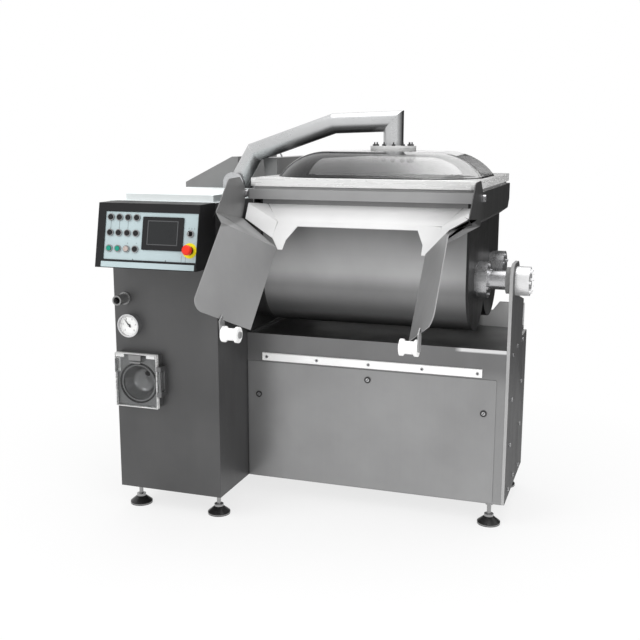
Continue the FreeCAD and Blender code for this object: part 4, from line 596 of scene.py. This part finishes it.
def strip_frame(width, height, band, thick):
    """A flat rectangular frame round the middle, from y = 0 forwards to -thick."""
    work = bmesh.new()
    bmesh.ops.create_grid(work, x_segments=1, y_segments=1, size=0.5)
    bmesh.ops.scale(work, vec=(width, height, 1), verts=work.verts)
    bmesh.ops.inset_region(work, faces=work.faces[:], thickness=band, use_boundary=True,
                           use_even_offset=True)
    middle = min(work.faces, key=lambda face: face.calc_center_median().length)
    bmesh.ops.delete(work, geom=[middle], context="FACES")
    made = bmesh.ops.extrude_face_region(work, geom=work.faces[:])
    verts = [part for part in made["geom"] if isinstance(part, bmesh.types.BMVert)]
    bmesh.ops.translate(work, vec=(0, 0, thick), verts=verts)
    return moved(work, TO_FRONT)


def ease_edges(work, verts, width, segments):
    edges = list(dict.fromkeys(edge for vert in verts for edge in vert.link_edges))
    bmesh.ops.bevel(work, geom=edges, offset=width, offset_type="OFFSET", segments=segments,
                    profile=0.5, affect="EDGES", material=-1)


def small_block(work, size, matrix, bevel=0.0):
    """Adds a block with eased edges to a mesh; size is in metres."""
    made = bmesh.ops.create_cube(work, size=1.0, matrix=matrix @ Matrix.Diagonal((*size, 1)))
    if bevel:
        ease_edges(work, made["verts"], bevel, 2)


def hexagon(work, radius, height, matrix, bevel=0.0):
    """Adds a six-sided nut or socket that starts at zero and rises along its own Z."""
    made = bmesh.ops.create_cone(work, cap_ends=True, segments=6, radius1=radius,
                                 radius2=radius, depth=height,
                                 matrix=matrix @ Matrix.Translation((0, 0, height / 2)))
    if bevel:
        ease_edges(work, made["verts"], bevel, 1)


def circle_of(count, radius, start=0.0):
    """Matrices evenly spaced round Z, each turned outwards."""
    for i in range(count):
        yield (Matrix.Rotation(start + i * math.tau / count, 4, "Z")
               @ Matrix.Translation((radius, 0, 0)))


# Sizes and colours

class MIXER_PG_colours(bpy.types.PropertyGroup):
    sheet_steel: FloatVectorProperty(name="Sheet steel", description="Colour of the base",
                                     subtype="COLOR", default=(0.31, 0.31, 0.312))
    cabinet_steel: FloatVectorProperty(name="Cabinet steel", subtype="COLOR",
                                       description="Colour of the control cabinet",
                                       default=(0.105, 0.105, 0.106))
    tank_steel: FloatVectorProperty(name="Tank steel", description="Colour of the tank",
                                    subtype="COLOR", default=(0.36, 0.36, 0.362))
    rim_steel: FloatVectorProperty(name="Rim steel", description="Colour of the tank rim",
                                   subtype="COLOR", default=(0.34, 0.34, 0.342))
    wing_steel: FloatVectorProperty(name="Chute steel", description="Colour of the wings",
                                    subtype="COLOR", default=(0.33, 0.33, 0.332))
    # Near white as painted highlight on the stainless lip.
    lip_steel: FloatVectorProperty(name="Lip steel", description="Colour of the lip",
                                   subtype="COLOR", default=(0.95, 0.95, 0.95))
    pipe_steel: FloatVectorProperty(name="Tube steel", description="Colour of the lid arm",
                                    subtype="COLOR", default=(0.54, 0.545, 0.55))
    console_plate: FloatVectorProperty(name="Console plate", subtype="COLOR",
                                       description="Colour of the plate behind the buttons",
                                       default=(0.43, 0.52, 0.54))
    stop_red: FloatVectorProperty(name="Stop red", description="Colour of the stop button",
                                  subtype="COLOR", default=(0.75, 0.035, 0.015))
    stop_yellow: FloatVectorProperty(name="Stop yellow", subtype="COLOR",
                                     description="Colour of the ring behind the stop button",
                                     default=(0.86, 0.74, 0.02))


class MIXER_PG_sizes(bpy.types.PropertyGroup):
    ring_radius: FloatProperty(name="Stop ring radius", subtype="DISTANCE", unit="LENGTH",
                               description="Outer radius of the yellow ring", default=0.030)
    dial_radius: FloatProperty(name="Dial radius", subtype="DISTANCE", unit="LENGTH",
                               description="Radius of the gauge's face", default=0.0448)
    lid_rim_top: FloatProperty(name="Lid rim top", subtype="DISTANCE", unit="LENGTH",
                               description="Height of the rim's upper face", default=1.455)
    stud_circle: FloatProperty(name="Stud circle", subtype="DISTANCE", unit="LENGTH",
                               description="Radius on which the disc's studs stand",
                               default=0.082)
    arm_radius: FloatProperty(name="Arm radius", subtype="DISTANCE", unit="LENGTH",
                              description="Outer radius of the lid arm's tube",
                              default=0.04445)
    world_light: FloatProperty(name="World light", min=0.0,
                               description="Strength of the light from all round",
                               default=0.60)
    floor_size: FloatProperty(name="Floor size", subtype="DISTANCE", unit="LENGTH",
                              description="Side of the floor", default=60.0)


# Pieces

class MIXER_OT_finishes(bpy.types.Operator):
    """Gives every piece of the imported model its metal, plastic or acrylic"""
    bl_idname = "mixer.finishes"
    bl_label = "Finishes"

    def execute(self, context):
        build_groups()
        build_materials(context.scene.mixer_colours)
        for name in NODES:
            finish_node(name, NODE_FINISH.get(name, "black"))
        return {"FINISHED"}


class MIXER_OT_sheets(bpy.types.Operator):
    """Rounds the edges of the folded sheets so that they catch the light"""
    bl_idname = "mixer.sheets"
    bl_label = "Sheet edges"

    def execute(self, context):
        for node, radius in SOFT_EDGES.items():
            soft_edged(node, radius)
        return {"FINISHED"}


class MIXER_OT_lid(bpy.types.Operator):
    """Makes the clear dome, its pale rim, the disc's cover and studs, and the nuts under it"""
    bl_idname = "mixer.lid"
    bl_label = "Lid"

    def execute(self, context):
        sizes = context.scene.mixer_sizes
        gap, stud_height, nut_height = 0.0001, 0.009, 0.012
        shell = self.part_of_dome("lid_shell", sizes.lid_rim_top + gap, True, "dome")
        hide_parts("lid_dome")
        self.part_of_dome("lid_rim", sizes.lid_rim_top, False, "flange")
        disc = Matrix.Translation(place(*LID_AXIS, 0))
        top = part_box("lid_bolts")[1][2]
        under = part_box("lid_inner_ring")[0][2]
        studs, nuts = bmesh.new(), bmesh.new()
        for spot in circle_of(12, sizes.stud_circle, math.radians(15)):
            stud = disc @ Matrix.Translation((0, 0, top + stud_height / 2)) @ spot
            bmesh.ops.create_cone(studs, cap_ends=True, segments=16, radius1=0.0034,
                                  radius2=0.0028, depth=stud_height, matrix=stud)
            nut = disc @ Matrix.Translation((0, 0, under - nut_height)) @ spot
            hexagon(nuts, 0.0115, nut_height, nut, 0.0008)
            bmesh.ops.create_uvsphere(nuts, u_segments=16, v_segments=8, radius=0.0100,
                                      matrix=nut)
        cover = turned([(0.0460, 1.5620), (0.1000, 1.5620), (0.1004, 1.5626),
                        (0.1004, 1.5827), (0.0998, 1.5833), (0.0460, 1.5833)])
        finished("disc_cover", moved(cover, disc), "flange", "lid", smooth=40)
        finished("lid_studs", studs, "dark_bolt", "lid", smooth=40)
        finished("lid_nuts", nuts, "dark_bolt", "lid", smooth=40)
        return {"FINISHED"}

    def part_of_dome(self, name, height, upper, key):
        """The dome above a height, or the rim below it, with its cut closed."""
        work = bmesh.new()
        work.from_mesh(NODES["lid_dome"].data)
        bmesh.ops.remove_doubles(work, verts=work.verts, dist=1e-5)
        everything = work.verts[:] + work.edges[:] + work.faces[:]
        bmesh.ops.bisect_plane(work, geom=everything, dist=1e-6, plane_co=(0, 0, height),
                               plane_no=(0, 0, 1), clear_inner=upper, clear_outer=not upper)
        open_edges = [edge for edge in work.edges if edge.is_boundary]
        bmesh.ops.triangle_fill(work, edges=open_edges, use_beauty=True,
                                normal=(0, 0, -1 if upper else 1))
        return finished(name, work, key, "lid", smooth=30)


class MIXER_OT_console(bpy.types.Operator):
    """Adds the console's display, stop ring, printed lines, sill, collars and key slot"""
    bl_idname = "mixer.console"
    bl_label = "Console"

    def execute(self, context):
        outer, inner = context.scene.mixer_sizes.ring_radius, 0.0176
        ring = turned([(inner, 0.0), (outer, 0.0), (outer, 0.0012), (outer - 0.0006, 0.0018),
                       (inner, 0.0018)])
        moved(ring, on_console(SWITCH_COLUMN, 0.004, -0.180) @ TO_FRONT)
        finished("stop_ring", ring, "yellow", "frame", smooth=40)
        screen_x, screen_z = -0.155, -0.115
        display = bmesh.new()
        small_block(display, (0.1258, 0.0008, 0.0888), on_console(screen_x, -0.0010, screen_z),
                    0.0003)
        finished("display", display, "display", "frame")
        border = strip_frame(0.1344, 0.0974, 0.0036, 0.0005)
        moved(border, on_console(screen_x, -0.0011, screen_z))
        finished("display_border", border, "border", "frame")
        sill = bmesh.new()
        small_block(sill, (0.415, 0.0012, 0.0225), on_console(PLATE_MIDDLE, -0.0005, -0.2472),
                    0.0004)
        finished("console_sill", sill, "panel", "frame")
        self.print_lines()
        self.collars()
        slot = bmesh.new()
        small_block(slot, (0.0022, 0.0006, 0.011), on_console(SWITCH_COLUMN, -0.0176, -0.1145),
                    0.0002)
        finished("key_slot", slot, "bright", "key")
        return {"FINISHED"}

    def print_lines(self):
        """Links between the two upper rows, marks at the switches, and lines and nuts below."""
        work = bmesh.new()
        thick, face = 0.0003, PRINT_DEPTH
        for x in BUTTON_COLUMNS[:3]:
            small_block(work, (0.0012, thick, 0.033), on_console(x, face, -0.0885))
        for x, z, turn in ((-0.313, -0.160, 25), (-0.274, -0.160, 25), (-0.046, -0.0930, 25),
                           (SWITCH_COLUMN, -0.0930, 0), (-0.022, -0.0930, -25)):
            small_block(work, (0.0012, thick, 0.0055), on_console(x + 0.003, face, z)
                        @ Matrix.Rotation(math.radians(turn), 4, "Y"))
        small_block(work, (0.414, thick, 0.0040), on_console(PLATE_MIDDLE, face, -0.2325))
        for x in (-0.068, -0.050):
            small_block(work, (0.0011, thick, 0.035), on_console(x, face, -0.2185))
        for x in (-0.282, -0.136):
            hexagon(work, 0.0022, 0.0006, on_console(x, face, -0.2240) @ TO_FRONT)
        finished("console_print", work, "ink_and_painted_shade", "frame")

    def collars(self):
        """A dark collar on each bezel, round its button."""
        work = bmesh.new()
        inner, outer = 0.0098, 0.0112
        for x in BUTTON_COLUMNS:
            for z in BUTTON_ROWS:
                collar = turned([(inner, 0.0), (outer, 0.0), (outer, 0.0004),
                                 (inner, 0.0006)], 48)
                join_in(work, moved(collar, on_console(x, -0.0020, z) @ TO_FRONT))
        finished("bezel_collars", work, "black", "frame", smooth=40)


class MIXER_OT_gauge(bpy.types.Operator):
    """Adds the printed dial of the vacuum gauge with its marks, numbers and glass"""
    bl_idname = "mixer.gauge"
    bl_label = "Gauge"

    def execute(self, context):
        radius = context.scene.mixer_sizes.dial_radius
        steps, steps_per_number = 40, 8
        face = self.looking_out(-331.05)
        hub, thick = 0.0032, 0.0006
        work = turned([(hub, 0.0), (radius, 0.0), (radius, thick), (hub, thick)])
        finished("gauge_dial", moved(work, face), "dial", "frame", smooth=40)
        marks = bmesh.new()
        for i in range(steps + 1):
            wide, long = (0.0005, 0.0030) if i % steps_per_number else (0.0011, 0.0060)
            spot = (Matrix.Rotation(self.bearing(i, steps) - math.pi / 2, 4, "Z")
                    @ Matrix.Translation((0, radius - 0.006, 0.0007)))
            small_block(marks, (wide, long, 0.0002), spot)
        finished("gauge_marks", moved(marks, face), "ink_and_painted_shade", "frame")
        self.numbers(radius, face, steps // steps_per_number)
        glass = turned([(0.0, 0.0), (radius, 0.0), (radius, 0.0018), (0.0, 0.0018)])
        finished("gauge_glass", moved(glass, self.looking_out(-343.0)), "glass", "frame",
                 smooth=40)
        return {"FINISHED"}

    def looking_out(self, depth):
        """Carries what was made upright on Z to the gauge's middle, facing the front."""
        return Matrix.Translation(place(-399, depth, 836)) @ TO_FRONT

    def bearing(self, step, steps):
        """Angle of a mark on the scale, which runs clockwise over three quarters."""
        return math.radians(225 - step * 270 / steps)

    def numbers(self, radius, face, steps):
        """Plain even numbers from 0 beside the long marks."""
        work = bmesh.new()
        for i in range(steps + 1):
            curve = bpy.data.curves.new("number", "FONT")
            curve.body = str(2 * i)
            curve.size = 0.0105
            curve.align_x = "CENTER"
            curve.align_y = "CENTER"
            curve.resolution_u = 2
            text = bpy.data.objects.new("number", curve)
            angle = self.bearing(i, steps)
            spot = Vector((math.cos(angle), math.sin(angle), 0)) * (radius - 0.0150)
            mesh = text.to_mesh()
            mesh.transform(Matrix.Translation(spot + Vector((0, 0, 0.0008))))
            work.from_mesh(mesh)
            text.to_mesh_clear()
            bpy.data.objects.remove(text)
            bpy.data.curves.remove(curve)
        finished("gauge_numbers", moved(work, face), "ink_and_painted_shade", "frame")


class MIXER_OT_filter(bpy.types.Operator):
    """Adds the sawn bright edges, the corner tabs and the clamp of the clear filter door"""
    bl_idname = "mixer.filter"
    bl_label = "Filter door"

    def execute(self, context):
        low, high = (Vector(corner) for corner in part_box("filter_door"))
        right, rear = place(-262, 0, 0)[0], place(0, -341.3, 0)[1]
        width, height = right - low[0], high[2] - low[2]
        middle = (low[0] + right) / 2
        proud = 0.0004
        edge = strip_frame(width + proud, height + proud, 0.0032, 0.0184)
        moved(edge, Matrix.Translation((middle, place(0, -341.25, 0)[1],
                                        (low[2] + high[2]) / 2)))
        finished("door_edges", edge, "flange", "door")
        clamp = bmesh.new()
        small_block(clamp, (0.058, 0.007, 0.024), Matrix.Translation(
            (middle, rear - 0.0215, high[2] - 0.016)), 0.0020)
        small_block(clamp, (0.050, 0.005, 0.007), Matrix.Translation(
            (middle, rear - 0.0225, high[2] - 0.037)), 0.0015)
        finished("door_clamp", clamp, "hood", "door", smooth=40)
        tabs = bmesh.new()
        for offset in (-0.073, 0.073):
            small_block(tabs, (0.040, 0.0022, 0.013), Matrix.Translation(
                (middle + offset, rear - 0.0192, high[2] - 0.010)), 0.0008)
        finished("door_tabs", tabs, "flange", "door")
        return {"FINISHED"}


class MIXER_OT_welds(bpy.types.Operator):
    """Adds the weld beads at the mitres of the lid arm and at its disc"""
    bl_idname = "mixer.welds"
    bl_label = "Welds"

    def execute(self, context):
        work = bmesh.new()
        path = [place(*point) for point in ARM_PATH]
        tube = context.scene.mixer_sizes.arm_radius
        for before, corner, after in zip(path, path[1:], path[2:]):
            along, onward = (corner - before).normalized(), (after - corner).normalized()
            normal = (along + onward).normalized()
            stretch = 1 / normal.dot(along)
            across = Vector((0, 1, 0))
            flat = across.cross(normal)
            turn = Matrix((flat * stretch, across, normal)).transposed().to_4x4()
            self.bead(work, tube - 0.0008, 0.0010, Matrix.Translation(corner) @ turn)
        self.bead(work, tube + 0.001, 0.0030, Matrix.Translation(path[0]))
        for vert in work.verts:
            vert.co.z = min(vert.co.z, CAD_HIGH[2])
        finished("arm_welds", work, "pipe", "lid", smooth=60)
        return {"FINISHED"}

    def bead(self, work, radius, thick, matrix):
        """Adds a rippled ring of weld metal; its ripple is a share of the radius."""
        sides, ripples, ripple = 6, 72, 0.0020
        angles = [math.tau * i / sides for i in range(sides)]
        ring = turned([(radius + thick * math.cos(angle), thick * math.sin(angle))
                       for angle in angles], 2 * ripples)
        for vert in ring.verts:
            share = 1 + ripple * math.sin(ripples * math.atan2(vert.co.y, vert.co.x))
            vert.co.x *= share
            vert.co.y *= share
        join_in(work, moved(ring, matrix))


class MIXER_OT_fasteners(bpy.types.Operator):
    """Adds the sockets of the screws and the slots of the panel locks, as flat black shapes of
    painted shade
    """
    bl_idname = "mixer.fasteners"
    bl_label = "Fasteners"

    def execute(self, context):
        work, cores, cap = bmesh.new(), bmesh.new(), bmesh.new()
        for x, z in LOCKS:
            bmesh.ops.create_cone(cores, cap_ends=True, segments=32, radius1=0.0080,
                                  radius2=0.0076, depth=0.0006,
                                  matrix=Matrix.Translation(place(x, -8.2, z)) @ TO_FRONT)
            # Each lock's slot is a thin black bar of painted shade.
            small_block(work, (0.0030, 0.0006, 0.0120), Matrix.Translation(
                place(x, -8.5, z)) @ Matrix.Rotation(math.radians(35), 4, "Y"), 0.0002)
        finished("lock_cores", cores, "bright", "frame", smooth=40)
        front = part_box("cover_screws")[0][1]
        # Each screw's socket is a thin black hexagon of painted shade.
        for x in range(98, 1031, 233):
            spot = place(x, 0, 667)
            hexagon(work, 0.0042, 0.0004, Matrix.Translation((spot[0], front, spot[2]))
                    @ TO_FRONT)
        finished("painted_recess_shade", work, "ink_and_painted_shade", "frame")
        cap_face = Matrix.Translation(place(1221.6, 110, 1042)) @ Matrix.Rotation(
            math.radians(90), 4, "Y")
        # The cap's sockets are thin black hexagons of painted shade.
        for spot in circle_of(6, 0.048):
            hexagon(cap, 0.0030, 0.0003, cap_face @ spot)
        finished("painted_cap_recess_shade", cap, "ink_and_painted_shade", "frame")
        return {"FINISHED"}


class MIXER_OT_stage(bpy.types.Operator):
    """Sets up the floor, the soft light, a dark card for mirrors and the camera"""
    bl_idname = "mixer.stage"
    bl_label = "Stage"

    def execute(self, context):
        scene = context.scene
        scene.view_settings.view_transform = "Standard"
        self.floor(scene)
        self.world(scene)
        self.card(scene)
        self.lamps(scene)
        lens = bpy.data.cameras.new("Camera")
        lens.lens = 53.0
        lens.sensor_width = 36.0
        lens.clip_end = 200
        camera = bpy.data.objects.new("Camera", lens)
        camera.location = Vector((1.6251, -3.7799, 1.6265)) - SHIFT
        camera.rotation_euler = [math.radians(part) for part in (78.928, -0.0932, 18.7712)]
        scene.collection.objects.link(camera)
        scene.camera = camera
        return {"FINISHED"}

    def seen_directly(self, tree):
        """1 for the eye, mirrors and glass, and 0 for all other light."""
        path = tree.nodes.new("ShaderNodeLightPath")
        seen = maths(tree, "ADD", path.outputs["Is Camera Ray"], path.outputs["Is Glossy Ray"])
        seen = maths(tree, "ADD", seen, path.outputs["Is Transmission Ray"])
        return maths(tree, "MINIMUM", seen, 1.0)

    def floor(self, scene):
        """A pale floor that keeps the shadow near the machine and turns white further out."""
        work = bmesh.new()
        bmesh.ops.create_grid(work, x_segments=1, y_segments=1,
                              size=scene.mixer_sizes.floor_size / 2)
        material, tree, shader, vector = new_material("Pale floor")
        shader.inputs["Base Color"].default_value = (0.90, 0.90, 0.90, 1)
        shader.inputs["Roughness"].default_value = 0.9
        reach = tree.nodes.new("ShaderNodeVectorMath")
        reach.operation = "LENGTH"
        tree.links.new(vector, reach.inputs[0])
        share = spread(tree, reach.outputs["Value"], 0.8, 2.2, 0.75, 1.0)
        factor = maths(tree, "MULTIPLY", share, self.seen_directly(tree))
        white = tree.nodes.new("ShaderNodeEmission")
        mix = tree.nodes.new("ShaderNodeMixShader")
        for socket, value in zip(mix.inputs, (factor, shader.outputs[0], white.outputs[0])):
            tree.links.new(value, socket)
        tree.links.new(mix.outputs[0], tree.nodes["Material Output"].inputs["Surface"])
        self.staged(scene, "floor", work, material)

    def staged(self, scene, name, work, material):
        """An object of the stage, from a bmesh; it is no part of the machine."""
        mesh = bpy.data.meshes.new(name)
        work.to_mesh(mesh)
        work.free()
        mesh.materials.append(material)
        item = bpy.data.objects.new(name, mesh)
        scene.collection.objects.link(item)
        return item

    def world(self, scene):
        world = bpy.data.worlds.new("Studio")
        scene.world = world
        world.use_nodes = True
        tree = world.node_tree
        tree.nodes.clear()
        light = tree.nodes.new("ShaderNodeBackground")
        strength = spread(tree, self.seen_directly(tree), 0.0, 1.0,
                          scene.mixer_sizes.world_light, 1.0)
        tree.links.new(strength, light.inputs["Strength"])
        light.inputs["Color"].default_value = (1, 1, 1, 1)
        end = tree.nodes.new("ShaderNodeOutputWorld")
        tree.links.new(light.outputs[0], end.inputs["Surface"])

    def card(self, scene):
        """A dark card behind the right side, which only mirrors see, to give the metal depth."""
        work = bmesh.new()
        bmesh.ops.create_grid(work, x_segments=1, y_segments=1, size=0.5)
        bmesh.ops.scale(work, vec=(3.6, 2.6, 1), verts=work.verts)
        moved(work, Matrix.Translation((2.0, 2.6, 1.3)) @ TO_FRONT)
        material, _, shader, _ = new_material("Dark card")
        shader.inputs["Base Color"].default_value = (0.02, 0.02, 0.02, 1)
        item = self.staged(scene, "card", work, material)
        for kind in ("camera", "diffuse", "transmission", "shadow"):
            setattr(item, "visible_" + kind, False)

    def lamps(self, scene):
        """Three soft lamps aimed at the machine's middle, of which mirrors see the top one."""
        middle = Vector((0, 0, 0.9))
        for name, spot, size, power in (("key", (-2.8, -3.6, 3.8), 3.6, 125),
                                        ("fill", (3.4, -3.2, 2.4), 3.0, 90),
                                        ("top", (0.2, 0.6, 4.6), 3.6, 80)):
            lamp = bpy.data.lights.new(name, "AREA")
            lamp.size = size
            lamp.energy = power
            item = bpy.data.objects.new(name, lamp)
            item.location = spot
            item.rotation_euler = (middle - Vector(spot)).to_track_quat("-Z", "Y").to_euler()
            item.visible_glossy = name == "top"
            scene.collection.objects.link(item)


class MIXER_PT_panel(bpy.types.Panel):
    """Shows the mixer's sizes, colours and operators"""
    bl_idname = "MIXER_PT_panel"
    bl_label = "Mixer"
    bl_space_type = "VIEW_3D"
    bl_region_type = "UI"
    bl_category = "Mixer"

    def draw(self, context):
        for group in (context.scene.mixer_sizes, context.scene.mixer_colours):
            for name in group.bl_rna.properties.keys():
                if name not in ("rna_type", "name"):
                    self.layout.prop(group, name)
        for operator in OPERATORS:
            self.layout.operator(operator.bl_idname)


OPERATORS = (MIXER_OT_finishes, MIXER_OT_sheets, MIXER_OT_lid, MIXER_OT_console,
             MIXER_OT_gauge, MIXER_OT_filter, MIXER_OT_welds, MIXER_OT_fasteners,
             MIXER_OT_stage)
CLASSES = (MIXER_PG_colours, MIXER_PG_sizes) + OPERATORS + (MIXER_PT_panel,)


def register():
    for item in CLASSES:
        bpy.utils.register_class(item)
    bpy.types.Scene.mixer_colours = PointerProperty(type=MIXER_PG_colours)
    bpy.types.Scene.mixer_sizes = PointerProperty(type=MIXER_PG_sizes)


def unregister():
    del bpy.types.Scene.mixer_sizes
    del bpy.types.Scene.mixer_colours
    for item in reversed(CLASSES):
        bpy.utils.unregister_class(item)


def main():
    register()
    for operator in OPERATORS:
        group, name = operator.bl_idname.split(".")
        getattr(getattr(bpy.ops, group), name)()


if __name__ == "__main__":
    main()
